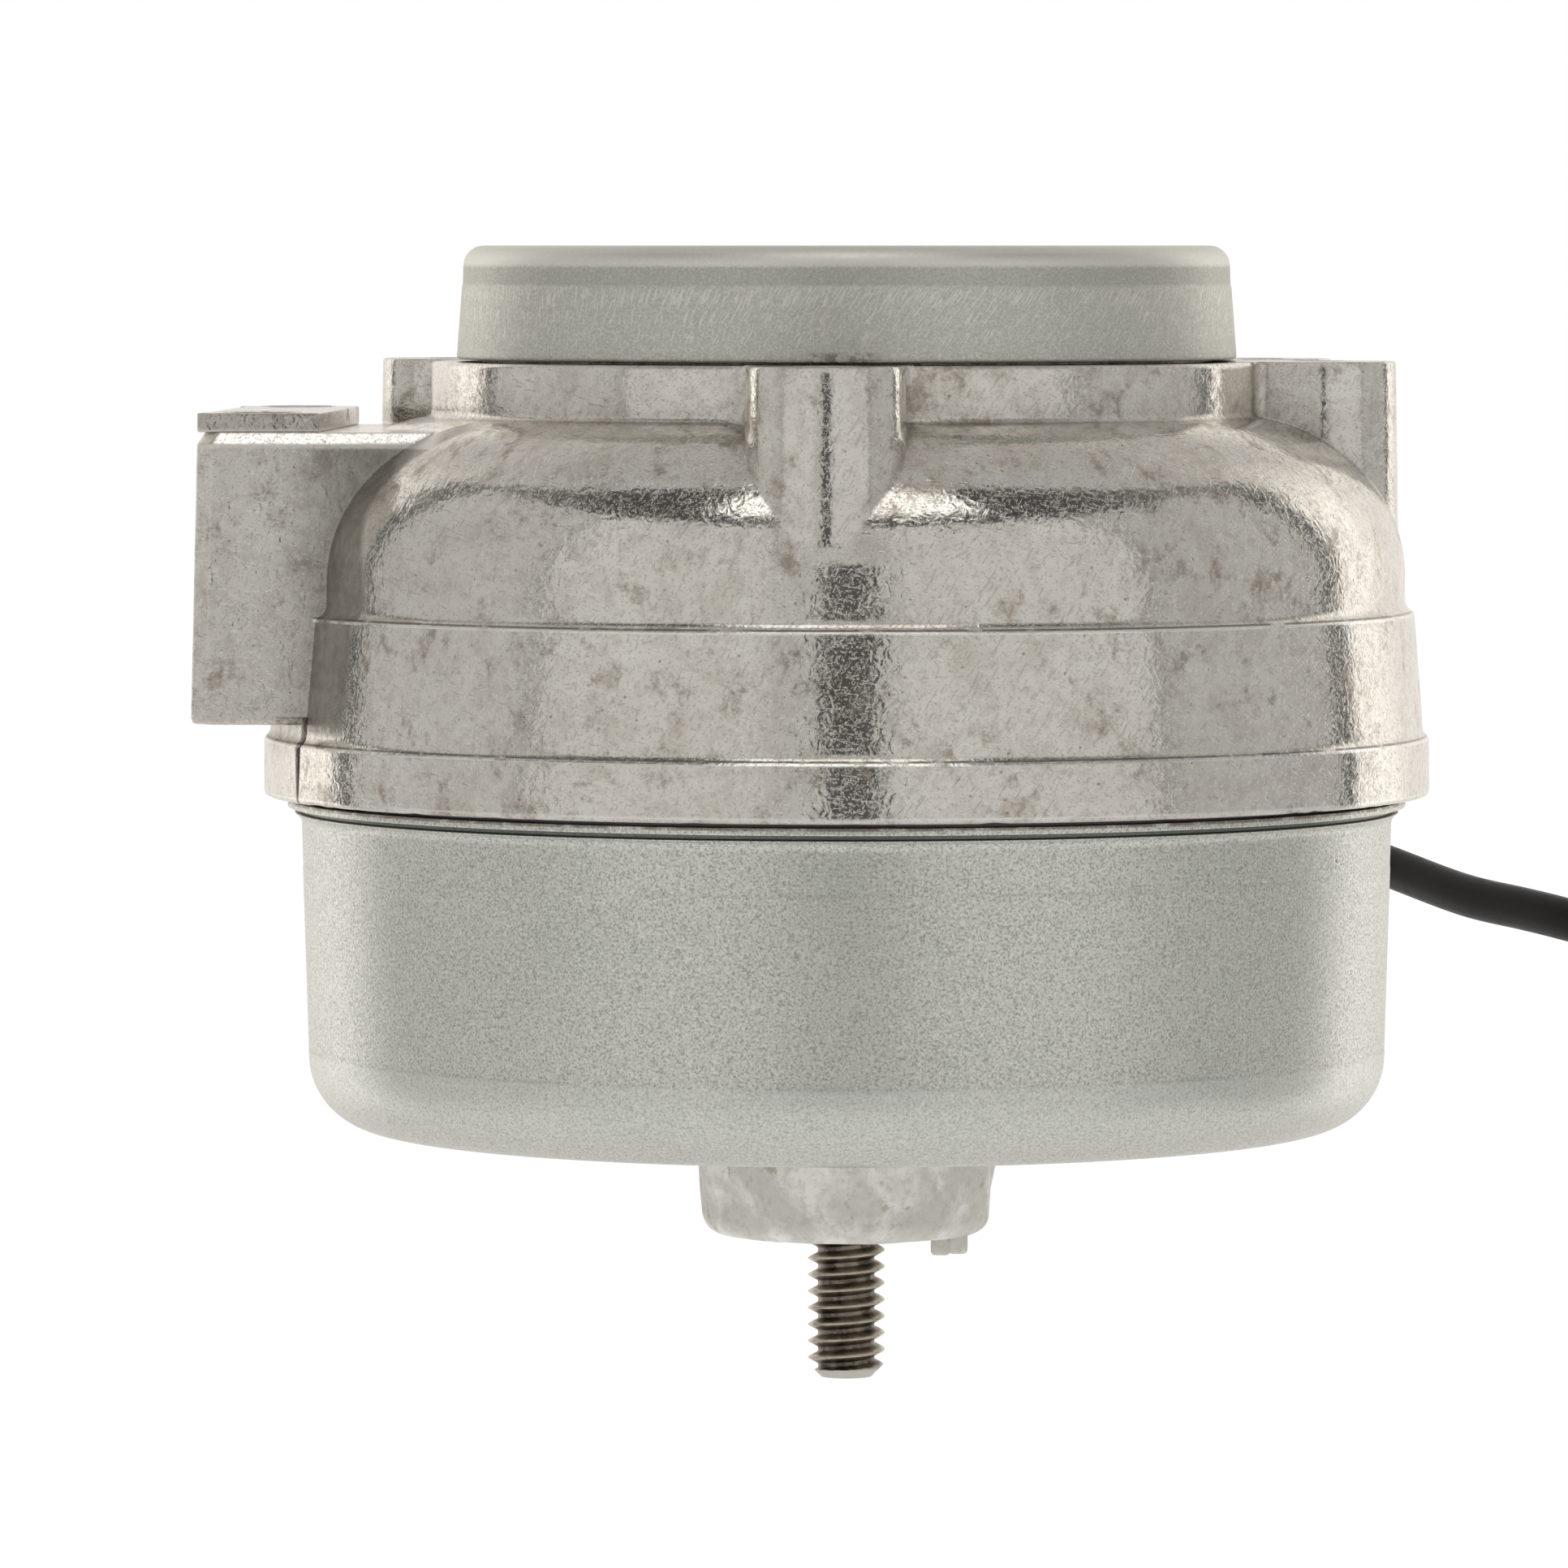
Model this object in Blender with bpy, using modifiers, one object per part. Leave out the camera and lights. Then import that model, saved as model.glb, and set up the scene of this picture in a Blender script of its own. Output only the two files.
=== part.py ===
"""Unit-bearing fan motor of a combustion fan, hung by its rear bosses, threaded stud down.

The origin is on the motor's axis, in the plane of the mounting bosses' tops. +Z points to the
rear cap and -Z along the stud, -Y is the front and -X the side with the junction block.
Every size below is in millimetres; the helpers turn them into Blender's metres.
"""

import math

import bmesh
import bpy
from mathutils import Matrix, Vector

MM = 0.001
GAP = 0.3           # clearance between pieces that touch on the real motor
ROUND = 48          # sides of the large turned pieces
SMALL_ROUND = 24    # sides of the small ones

# Die-cast housing
COLLAR_R = 26.35
COLLAR_TOP = -0.04   # a hair below the bosses' faces, so that only they touch a bracket
DOME_CENTRE = (25.1, -13.7)
DOME_R = 10.3
DOME_INNER_R = 7.0
SHOULDER_R = 35.65
BAND_TOP_R = 35.98
BAND_TOP = -15.9
BAND_R = 36.7
FLANGE_TOP = -23.75
FLANGE_TOP_R = 36.9
FLANGE_R = 37.0
FLANGE_BOTTOM = -27.6
SPIGOT_R = 23.2
SPIGOT_TOP = 2.6
RESERVOIR_R = 21.2
RESERVOIR_FLOOR = -3.4
POST_R = 8.6
POST_TOP = 1.0
POST_BOTTOM = -36.0
POST_FOOT_R = 8.5
POST_BORE = 5.3
CEILING = -6.7
CAVITY_R = 31.8
CAVITY_SHOULDER = -14.4
SEAT_R = 33.7
SEAT_TOP = -19.2

# Mounting bosses, angles measured from the front (-Y) towards +X
BOSS_ANGLES = (0, 90, 120, 180, 240)
BOSS_CIRCLE = 29.95
BOSS_R = 4.85
BOSS_BOTTOM = -12.5
BOSS_HOLE_R = 1.75
BOSS_HOLE_DEPTH = 9.0
RIB_INNER_R = 24.0  # a rib fills the space between a boss and the collar
RIB_OUTER_R = 30.0
RIB_BOTTOM = -12.0
RIB_HALF_WIDTH = 4.83

# Junction block on the housing's -X side, with its cover
BLOCK_LOW = (-40.3, -15.6, -22.5)
BLOCK_HIGH = (-27.0, 14.4, -4.3)
BLOCK_DRAFT = 0.45
BLOCK_EDGE = 0.8
POCKET_LOW = (-38.4, -9.0, -17.0)
POCKET_HIGH = (-33.2, 8.0, -2.0)
WINDOW_LOW = (-34.5, -5.0, -15.0)
WINDOW_HIGH = (-28.0, 5.0, -9.0)
COVER_LOW = (-39.8, -15.0, -4.0)
COVER_HIGH = (-32.2, 13.0, -3.1)
SCREW_PLACES = ((-36.0, -12.1), (-36.0, 11.1))
SCREW_HEAD_R = 2.2
SCREW_R = 1.1
SCREW_LENGTH = 7.0
SCREW_TOP = -3.05
SCREW_HEAD_BOTTOM = -3.35
SCREW_SEAT = -3.65

# Rear cap
CAP_TOP = 7.3
CAP_SHEET = 1.0
CAP_TOP_R = 24.36
CAP_RIM_R = 24.6
CAP_CORNER = 1.4

# Front can
CAN_LIP_R = 35.5
CAN_TOP = -27.9
CAN_SHEET = 0.65
CAN_R = 34.6
CAN_LOW_R = 34.2
CAN_CORNER = 4.7
CAN_BOTTOM = -48.7
CAN_HOLE_R = 10.6

# Stator: four salient poles
STACK_TOP = -19.5
STACK_BOTTOM = -37.5
STATOR_R = 33.4
YOKE_INNER_R = 27.8
SHOE_OUTER_R = 21.4
BORE_R = 18.9
POLES = 4
FIRST_POLE = 45
POLE_HALF_WIDTH = 4.5
SHOE_HALF_ANGLE = 36
SLOT_ANGLES = (19, 24)
SLOT_DEPTH_R = 20.7
BOBBIN_WALL = 0.9
BOBBIN_WIDTH = 5.0
BOBBIN_PLACE_R = 24.3
COIL_WIDTH = 3.4
COIL_PLACE_R = 23.9
COIL_THICKNESS = 3.2
SHADE_HALF_WIDTHS = (3.3, 2.5)
SHADE_OVERHANGS = (1.4, 0.6)
SHADE_SHEET = 0.8
SHADE_PLACE_R = 19.85
SHADE_OFFSET = 30    # from the middle of its pole, in degrees

# Bearing and rotor
FELT_TOP = 0.9
SEAL_HEIGHT = 1.0
ROTOR_R = 18.5
ROTOR_INNER_R = 11.4
END_RING = 2.6
END_RING_INNER_R = 11.8
END_RING_OUTER_R = 18.0
SHAFT_R = 3.0
BEARING_R = 5.0
BEARING_BORE = 3.2
SHAFT_TOP = 4.4
SHAFT_BOTTOM = -46.6
SHAFT_CHAMFER = 0.5
CLIP_GROOVE = (3.3, 2.3)
CLIP_GROOVE_R = 2.4
CLIP_R = 5.2
CLIP_SHEET = 0.6
WASHER_SHEET = 0.8
REAR_WASHER_R = 6.0
FRONT_WASHER_R = 7.4
HUB_TOP_R = 9.41
HUB_LOW_R = 9.12
HUB_BOTTOM = -55.5
HUB_EDGE = 1.3
WEB_R = 17.6
WEB_SHEET = 2.3
WEB_DEPTH = 3.6     # from the web's top to where it meets the hub
NECK_R = 6.2
NECK_HEIGHT = 3.1
NUB_LOW = (5.35, -3.6, -56.7)
NUB_HIGH = (7.6, -2.2, -55.0)
STUD_TOP = -47.0
STUD_R = 2.4
STUD_END = -64.7
STUD_CHAMFER = 0.8

# Inside the junction block and the housing
TERMINALS_LOW = (-37.9, -6.0, -16.5)
TERMINALS_HIGH = (-33.7, 6.0, -10.0)
TAB_PLACES = (-3.3, 3.3)
TAB_LOW = (-36.3, -2.1, -9.7)
TAB_HIGH = (-35.5, 2.1, -5.6)
PROTECTOR_HALF_SIZE = (4.5, 6.0, 2.0)
PROTECTOR_ANGLE = 225
PROTECTOR_R = 23.5
PROTECTOR_Z = -12.4
INNER_LEAD_R = 1.2
INNER_LEAD_BEND = (22.0, -11.0)
INNER_LEAD_END = ((-26.5, 0.8, -11.8), (-33.3, 0.0, -12.0))

# Power lead: a slim black two-core lead
LEAD_R = 1.4
FLOOR = STUD_END
GROMMET_ANGLE = 165
GROMMET_Z = -16.2
GROMMET_TIP = 41.4   # these four are distances from the motor's axis
GROMMET_FLANGE = (37.6, 36.6)
GROMMET_LIP = (31.2, 30.4)
LEAD_HOLE = (40.0, 29.0)
RELIEF_R = (2.1, 3.0)
GROMMET_FLANGE_R = 3.9
GROMMET_NECK_R = 2.4
GROMMET_LIP_R = 2.9
LEAD_HOLE_R = 2.7
LEAD_ROUTE = (
    (10.8, 40.3, -16.2), (11.9, 44.0, -17.2), (14.6, 47.0, -20.6), (18.9, 47.6, -25.4),
    (23.9, 45.3, -29.4), (28.9, 41.6, -32.1), (32.4, 38.4, -33.4), (35.1, 35.5, -34.3),
    (39.8, 28.5, -35.7), (46.2, 20.0, -36.6), (52.6, 13.6, -39.2), (58.8, 8.6, -44.4),
    (64.0, 4.6, -51.2), (67.8, 1.4, -57.4),
)
COIL_CENTRE = (88.0, -10.0)
COIL_INNER = 12.8
COIL_OUTER = 18.7
COIL_LOW = FLOOR + 0.7
COIL_HIGH = COIL_LOW + 8.8
COIL_EDGE = 0.8
TIE_ANGLE = -60
TIE_SHEET = 0.4
TIE_WIDTH = 3.0
TAIL_ROUTE = ((105.2, 1.0, -57.0), (105.1, 5.5, -58.2), (104.8, 11.0, -60.2), (104.6, 17.0, -61.4))
CONNECTOR_LOW = (100.6, 17.4, FLOOR)
CONNECTOR_HIGH = (108.6, 30.4, FLOOR + 6.2)
CONTACT_PLACES = (102.7, 106.5)
CONTACT_LOW = (-0.8, 20.8, FLOOR + 2.3)
CONTACT_HIGH = (0.8, 29.6, FLOOR + 3.9)
CONTACT_ROOM = 0.4


# ---------------------------------------------------------------- helpers

def clear_scene():
    for obj in list(bpy.data.objects):
        bpy.data.objects.remove(obj, do_unlink=True)


def new_collection(name):
    made = bpy.data.collections.new(name)
    bpy.context.scene.collection.children.link(made)
    return made


def new_material(name, colour, roughness, metallic):
    made = bpy.data.materials.new(name)
    made.use_nodes = True
    shader = made.node_tree.nodes["Principled BSDF"]
    shader.inputs["Base Color"].default_value = (*colour, 1.0)
    shader.inputs["Roughness"].default_value = roughness
    shader.inputs["Metallic"].default_value = metallic
    made.diffuse_color = (*colour, 1.0)
    return made


def place(name, data, material, helper=False):
    """Puts new mesh or curve data in the scene, as a part or as a cutter that is never shown."""
    obj = bpy.data.objects.new(name, data)
    (CUTTERS if helper else PARTS).objects.link(obj)
    if helper:
        obj.hide_render = True
        obj.display_type = "WIRE"
    elif material:
        data.materials.append(material)
    return obj


def turned(name, profile, material=None, sides=SMALL_ROUND, helper=False):
    """Turns (radius, height) points about Z. The profile runs down its outer side."""
    on_axis = profile[0][0] == 0 and profile[-1][0] == 0
    mesh = bpy.data.meshes.new(name)
    count = len(profile)
    edges = [(i, i + 1) for i in range(count - 1)]
    if not on_axis:
        edges.append((count - 1, 0))
    mesh.from_pydata([(r * MM, 0, z * MM) for r, z in profile], edges, [])
    obj = place(name, mesh, material, helper)
    screw = obj.modifiers.new("turn", "SCREW")
    screw.steps = sides
    screw.render_steps = sides
    screw.use_smooth_shade = False
    screw.use_merge_vertices = True
    screw.merge_threshold = 0.00001
    return obj


def block(name, low, high, material=None, helper=False, edge=0.0, draft=0.0):
    """A box between two corners; draft widens its -X side towards the bottom."""
    mesh = bpy.data.meshes.new(name)
    shape = bmesh.new()
    size = Vector(high) - Vector(low)
    middle = (Vector(high) + Vector(low)) / 2
    bmesh.ops.create_cube(shape, size=1.0)
    bmesh.ops.scale(shape, vec=size * MM, verts=shape.verts)
    for vert in shape.verts:
        if vert.co.z > 0 and vert.co.x < 0:
            vert.co.x += draft * MM
    shape.to_mesh(mesh)
    shape.free()
    obj = place(name, mesh, material, helper)
    obj.location = middle * MM
    if edge:
        bevel = obj.modifiers.new("edges", "BEVEL")
        bevel.width = edge * MM
        bevel.segments = 2
    return obj


def cylinder(name, radius, low, high, helper=True, sides=SMALL_ROUND):
    """A plain cylinder along Z, used as a cutter or to be joined to a casting."""
    return turned(name, [(0, high), (radius, high), (radius, low), (0, low)], None, sides, helper)


def combine(obj, other, operation):
    step = obj.modifiers.new(other.name, "BOOLEAN")
    step.object = other
    step.operation = operation
    step.solver = "EXACT"


def outline_plate(name, outlines, thickness, material):
    """A flat outline in its own XY plane, as thick along its own Z as said."""
    curve = bpy.data.curves.new(name, "CURVE")
    curve.dimensions = "2D"
    curve.fill_mode = "BOTH"
    curve.extrude = thickness / 2 * MM
    for points in outlines:
        spline = curve.splines.new("POLY")
        spline.points.add(len(points) - 1)
        for target, (x, y) in zip(spline.points, points):
            target.co = (x * MM, y * MM, 0, 1)
        spline.use_cyclic_u = True
    return place(name, curve, material)


def tube(name, points, radius, material):
    """A round wire through the points, with closed ends."""
    curve = bpy.data.curves.new(name, "CURVE")
    curve.dimensions = "3D"
    curve.bevel_depth = radius * MM
    curve.bevel_resolution = 2
    curve.use_fill_caps = True
    spline = curve.splines.new("POLY")
    spline.points.add(len(points) - 1)
    for target, point in zip(spline.points, points):
        target.co = (*(Vector(point) * MM), 1)
    return place(name, curve, material)


def smooth_route(points, spacing):
    """Evenly spaced points on a Catmull-Rom curve through the route's own points."""
    ends = [2 * Vector(points[0]) - Vector(points[1]), *map(Vector, points)]
    ends.append(2 * Vector(points[-1]) - Vector(points[-2]))
    fine = []
    steps = 24
    for a, b, c, d in zip(ends, ends[1:], ends[2:], ends[3:]):
        for i in range(steps):
            t = i / steps
            fine.append(0.5 * (2 * b + (c - a) * t + (2 * a - 5 * b + 4 * c - d) * t * t
                               + (3 * b - a - 3 * c + d) * t ** 3))
    fine.append(Vector(points[-1]))
    total = sum((q - p).length for p, q in zip(fine, fine[1:]))
    count = round(total / spacing)
    picked, run = [fine[0]], 0.0
    for p, q in zip(fine, fine[1:]):
        run += (q - p).length
        if run >= total / count * len(picked) and len(picked) < count:
            picked.append(q)
    return [*picked, fine[-1]]


def arc(centre, radius, start, end, steps):
    """Points of an arc, angles in degrees from the first axis."""
    angles = [math.radians(start + (end - start) * i / steps) for i in range(steps + 1)]
    return [(centre[0] + radius * math.cos(a), centre[1] + radius * math.sin(a)) for a in angles]


def around(angle, radius):
    """The X and Y of a place at an angle from the front (-Y) towards +X."""
    turn = math.radians(angle)
    return radius * math.sin(turn), -radius * math.cos(turn)


def rounded_rectangle(half_x, half_y, corner):
    points = []
    for quarter, (sx, sy) in enumerate(((1, 1), (-1, 1), (-1, -1), (1, -1))):
        centre = (sx * (half_x - corner), sy * (half_y - corner))
        points += arc(centre, corner, 90 * quarter, 90 * quarter + 90, 4)
    return points


def face_outward(obj, angle, radius, height):
    """Stands a flat outline on a pole: its X along the tangent, its Y up, its Z outwards."""
    turn = math.radians(angle)
    outward = Vector((math.cos(turn), math.sin(turn), 0))
    tangent = Vector((-math.sin(turn), math.cos(turn), 0))
    frame = Matrix((tangent, Vector((0, 0, 1)), outward)).transposed().to_4x4()
    obj.matrix_world = Matrix.Translation((outward * radius + Vector((0, 0, height))) * MM) @ frame


# ---------------------------------------------------------------- housing

def dome_arc(radius, start_r, steps):
    """The dome's shoulder from a start radius down to the wall."""
    start = math.degrees(math.acos((start_r - DOME_CENTRE[0]) / radius))
    return arc(DOME_CENTRE, radius, start, 0, steps)


def make_housing(material):
    outer = [(SPIGOT_R, SPIGOT_TOP), (SPIGOT_R, COLLAR_TOP), (COLLAR_R, COLLAR_TOP)]
    outer += dome_arc(DOME_R, COLLAR_R, 7)
    outer += [(SHOULDER_R, BAND_TOP), (BAND_TOP_R, BAND_TOP), (BAND_R, FLANGE_TOP)]
    outer += [(FLANGE_TOP_R, FLANGE_TOP), (FLANGE_R, FLANGE_BOTTOM), (POST_FOOT_R, FLANGE_BOTTOM)]
    inner = [(POST_FOOT_R, POST_BOTTOM), (POST_BORE, POST_BOTTOM), (POST_BORE, POST_TOP)]
    inner += [(POST_R, POST_TOP), (POST_R, RESERVOIR_FLOOR), (RESERVOIR_R, RESERVOIR_FLOOR)]
    housing = turned("cast_housing", outer + inner + [(RESERVOIR_R, SPIGOT_TOP)], material, ROUND)

    for angle in BOSS_ANGLES:
        x, y = around(angle, BOSS_CIRCLE)
        boss = cylinder(f"boss_{angle}", BOSS_R, BOSS_BOTTOM, 0.0)
        boss.location = (x * MM, y * MM, 0)
        combine(housing, boss, "UNION")
        rib = block(f"boss_rib_{angle}", (-RIB_HALF_WIDTH, -RIB_OUTER_R, RIB_BOTTOM),
                    (RIB_HALF_WIDTH, -RIB_INNER_R, COLLAR_TOP - 0.02), helper=True)
        rib.matrix_world = (Matrix.Rotation(math.radians(angle), 4, "Z")
                            @ Matrix.Translation(rib.location))
        combine(housing, rib, "UNION")
    box = block("block_body", BLOCK_LOW, BLOCK_HIGH, helper=True, edge=BLOCK_EDGE, draft=BLOCK_DRAFT)
    combine(housing, box, "UNION")

    ceiling = [(POST_R, CEILING), (DOME_CENTRE[0], CEILING)]
    cavity = ceiling + arc(DOME_CENTRE, DOME_INNER_R, 78, 16, 5)
    cavity += [(CAVITY_R, CAVITY_SHOULDER), (CAVITY_R, SEAT_TOP), (SEAT_R, SEAT_TOP)]
    cavity += [(SEAT_R, FLANGE_BOTTOM - 1), (POST_R, FLANGE_BOTTOM - 1)]
    combine(housing, turned("motor_cavity", cavity, None, ROUND, True), "DIFFERENCE")
    combine(housing, block("wiring_pocket", POCKET_LOW, POCKET_HIGH, helper=True), "DIFFERENCE")
    combine(housing, block("wire_window", WINDOW_LOW, WINDOW_HIGH, helper=True), "DIFFERENCE")

    for angle in BOSS_ANGLES:
        x, y = around(angle, BOSS_CIRCLE)
        hole = cylinder(f"boss_hole_{angle}", BOSS_HOLE_R, -BOSS_HOLE_DEPTH, 1.0, sides=16)
        hole.location = (x * MM, y * MM, 0)
        combine(housing, hole, "DIFFERENCE")
    for number, (x, y) in enumerate(SCREW_PLACES, 1):
        hole = cylinder(f"screw_hole_{number}", SCREW_R + GAP, BLOCK_HIGH[2] - SCREW_LENGTH, 0, sides=16)
        hole.location = (x * MM, y * MM, 0)
        combine(housing, hole, "DIFFERENCE")
    hole = cylinder("lead_hole", LEAD_HOLE_R, LEAD_HOLE[1], LEAD_HOLE[0])
    aim_outward(hole)
    combine(housing, hole, "DIFFERENCE")


def aim_outward(obj):
    """Lays a piece turned about Z along the lead's way out of the housing."""
    x, y = around(GROMMET_ANGLE, 1)
    turn = Vector((0, 0, 1)).rotation_difference(Vector((x, y, 0)))
    obj.matrix_world = Matrix.Translation((0, 0, GROMMET_Z * MM)) @ turn.to_matrix().to_4x4()


def make_cap(material):
    inner_r = CAP_TOP_R - CAP_SHEET
    top = CAP_TOP - CAP_SHEET
    profile = [(0, CAP_TOP)]
    profile += arc((CAP_TOP_R - CAP_CORNER, CAP_TOP - CAP_CORNER), CAP_CORNER, 90, 0, 5)
    profile += [(CAP_RIM_R, GAP), (CAP_RIM_R - CAP_SHEET, GAP), (inner_r, top - 0.6)]
    profile += [(inner_r - 0.6, top), (0, top)]
    turned("rear_cap", profile, material, ROUND)


def ring(name, inner, outer, low, high, material, sides=SMALL_ROUND):
    return turned(name, [(outer, high), (outer, low), (inner, low), (inner, high)], material, sides)


def make_can(material):
    corner = (CAN_LOW_R - CAN_CORNER, CAN_BOTTOM + CAN_CORNER)
    flare = arc((CAN_R + 1.0, CAN_TOP - CAN_SHEET - 1.0), 1.0, 90, 180, 4)
    profile = [(CAN_LIP_R, CAN_TOP), (CAN_LIP_R, CAN_TOP - CAN_SHEET)] + flare[1:]
    profile += arc(corner, CAN_CORNER, 0, -90, 6)
    profile += [(CAN_HOLE_R, CAN_BOTTOM), (CAN_HOLE_R, CAN_BOTTOM + CAN_SHEET)]
    profile += arc(corner, CAN_CORNER - CAN_SHEET, -90, 0, 4)
    profile += [(CAN_R - CAN_SHEET, CAN_TOP - 1.4), (CAN_R - 0.3, CAN_TOP)]
    turned("front_can", profile, material, ROUND)


def make_cover(plate_material, screw_material):
    cover = block("terminal_cover", COVER_LOW, COVER_HIGH, plate_material, edge=0.25)
    for number, (x, y) in enumerate(SCREW_PLACES, 1):
        seat = turned(f"cover_hole_{number}", [
            (0, 0), (SCREW_HEAD_R + GAP, 0), (SCREW_HEAD_R + GAP, SCREW_SEAT),
            (SCREW_R + GAP, SCREW_SEAT), (SCREW_R + GAP, -6), (0, -6)], helper=True)
        seat.location = (x * MM, y * MM, 0)
        combine(cover, seat, "DIFFERENCE")
        screw = turned(f"cover_screw_{number}", [
            (0, SCREW_TOP), (SCREW_HEAD_R, SCREW_TOP), (SCREW_HEAD_R, SCREW_HEAD_BOTTOM),
            (SCREW_R, SCREW_HEAD_BOTTOM), (SCREW_R, COVER_LOW[2] - SCREW_LENGTH),
            (0, COVER_LOW[2] - SCREW_LENGTH)], screw_material)
        screw.location = (x * MM, y * MM, 0)


# ---------------------------------------------------------------- stator

def stator_window():
    """The stator's inner outline: bore, pole shoes with their shading slots, and coil windows."""
    points = []

    def add(radius, start, end, steps):
        centre_angle = FIRST_POLE + 360 / POLES * pole
        points.extend(arc((0, 0), radius, centre_angle + start, centre_angle + end, steps))

    yoke_side = math.degrees(math.asin(POLE_HALF_WIDTH / YOKE_INNER_R))
    shoe_side = math.degrees(math.asin(POLE_HALF_WIDTH / SHOE_OUTER_R))
    for pole in range(POLES):
        add(YOKE_INNER_R, -45 + 1, -yoke_side, 5)
        add(SHOE_OUTER_R, -shoe_side, -SHOE_HALF_ANGLE, 4)
        add(BORE_R, -SHOE_HALF_ANGLE, SLOT_ANGLES[0], 8)
        add(SLOT_DEPTH_R, *SLOT_ANGLES, 1)
        add(BORE_R, SLOT_ANGLES[1], SHOE_HALF_ANGLE, 3)
        add(SHOE_OUTER_R, SHOE_HALF_ANGLE, shoe_side, 4)
        add(YOKE_INNER_R, yoke_side, 45 - 1, 5)
    return points


def make_stator(steel, plastic, enamel, copper):
    middle = (STACK_TOP + STACK_BOTTOM) / 2
    half = (STACK_TOP - STACK_BOTTOM) / 2
    rim = arc((0, 0), STATOR_R, 0, 360 - 360 / ROUND, ROUND - 1)
    core = outline_plate("stator_core", [rim, stator_window()], 2 * half, steel)
    core.location.z = middle * MM

    bobbin = (POLE_HALF_WIDTH + GAP, half + GAP)
    coil = (bobbin[0] + BOBBIN_WALL + GAP, bobbin[1] + BOBBIN_WALL + GAP)
    for pole in range(POLES):
        angle = FIRST_POLE + 360 / POLES * pole
        number = pole + 1
        frame = outline_plate(f"coil_bobbin_{number}", [
            rounded_rectangle(bobbin[0] + BOBBIN_WALL, bobbin[1] + BOBBIN_WALL, 0.8),
            rounded_rectangle(*bobbin, 0.2)], BOBBIN_WIDTH, plastic)
        face_outward(frame, angle, BOBBIN_PLACE_R, middle)
        winding = outline_plate(f"stator_coil_{number}", [
            rounded_rectangle(coil[0] + COIL_THICKNESS, coil[1] + COIL_THICKNESS, 3.0),
            rounded_rectangle(*coil, 0.9)], COIL_WIDTH, enamel)
        face_outward(winding, angle, COIL_PLACE_R, middle)
        shade = outline_plate(f"shading_ring_{number}", [
            rounded_rectangle(SHADE_HALF_WIDTHS[0], half + SHADE_OVERHANGS[0], 0.6),
            rounded_rectangle(SHADE_HALF_WIDTHS[1], half + SHADE_OVERHANGS[1], 0.3)], SHADE_SHEET, copper)
        face_outward(shade, angle + SHADE_OFFSET, SHADE_PLACE_R, middle)


# ---------------------------------------------------------------- bearing and rotor

def make_bearing(bronze, felt, rubber):
    ring("bearing_sleeve", BEARING_BORE, BEARING_R, POST_BOTTOM + 0.5, POST_TOP - 0.3, bronze)
    ring("oil_felt", POST_R + 0.4, RESERVOIR_R - 0.4, RESERVOIR_FLOOR + GAP, FELT_TOP, felt, ROUND)
    seal_bottom = SPIGOT_TOP + GAP
    ring("cap_seal", RESERVOIR_R + 0.3, SPIGOT_R - 0.1, seal_bottom, seal_bottom + SEAL_HEIGHT, rubber, ROUND)


def make_rotor(steel, casting, ground_steel, stud_steel, nylon):
    ring("rotor_core", ROTOR_INNER_R, ROTOR_R, STACK_BOTTOM, STACK_TOP, steel, ROUND)
    for name, low in (("rear", STACK_TOP + GAP), ("front", STACK_BOTTOM - GAP - END_RING)):
        ring(f"rotor_end_ring_{name}", END_RING_INNER_R, END_RING_OUTER_R, low, low + END_RING,
             casting, ROUND)

    web_top = STACK_BOTTOM - 2 * GAP - END_RING
    hub_bore = SHAFT_R + GAP
    stud_bore = STUD_R + GAP
    neck_top = web_top + NECK_HEIGHT
    profile = [(NECK_R, neck_top), (NECK_R, web_top), (WEB_R, web_top), (WEB_R, web_top - WEB_SHEET)]
    profile += [(HUB_TOP_R, web_top - WEB_DEPTH), (HUB_TOP_R, CAN_BOTTOM)]
    profile += arc((HUB_LOW_R - HUB_EDGE, HUB_BOTTOM + HUB_EDGE), HUB_EDGE, 0, -90, 4)
    profile += [(stud_bore, HUB_BOTTOM), (stud_bore, STUD_TOP), (hub_bore, STUD_TOP), (hub_bore, neck_top)]
    hub = turned("fan_hub", profile, casting, ROUND)
    combine(hub, block("gate_nub", NUB_LOW, NUB_HIGH, helper=True, edge=0.2), "UNION")

    groove_top, groove_bottom = CLIP_GROOVE
    turned("rotor_shaft", [
        (0, SHAFT_TOP), (SHAFT_R - SHAFT_CHAMFER, SHAFT_TOP), (SHAFT_R, SHAFT_TOP - SHAFT_CHAMFER),
        (SHAFT_R, groove_top), (CLIP_GROOVE_R, groove_top), (CLIP_GROOVE_R, groove_bottom),
        (SHAFT_R, groove_bottom), (SHAFT_R, SHAFT_BOTTOM), (0, SHAFT_BOTTOM)], ground_steel)
    turned("threaded_stud", [
        (0, STUD_TOP), (STUD_R, STUD_TOP), (STUD_R, STUD_END + STUD_CHAMFER),
        (STUD_R - STUD_CHAMFER, STUD_END), (0, STUD_END)], stud_steel)
    clip_bottom = groove_bottom + 0.2
    ring("retaining_clip", CLIP_GROOVE_R + 0.2, CLIP_R, clip_bottom, clip_bottom + CLIP_SHEET, ground_steel)
    rear, front = POST_TOP + GAP, POST_BOTTOM - 0.4
    ring("thrust_washer_rear", SHAFT_R + 0.2, REAR_WASHER_R, rear, rear + WASHER_SHEET, nylon)
    ring("thrust_washer_front", SHAFT_R + 0.2, FRONT_WASHER_R, front - WASHER_SHEET, front, nylon)


# ---------------------------------------------------------------- wiring

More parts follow.
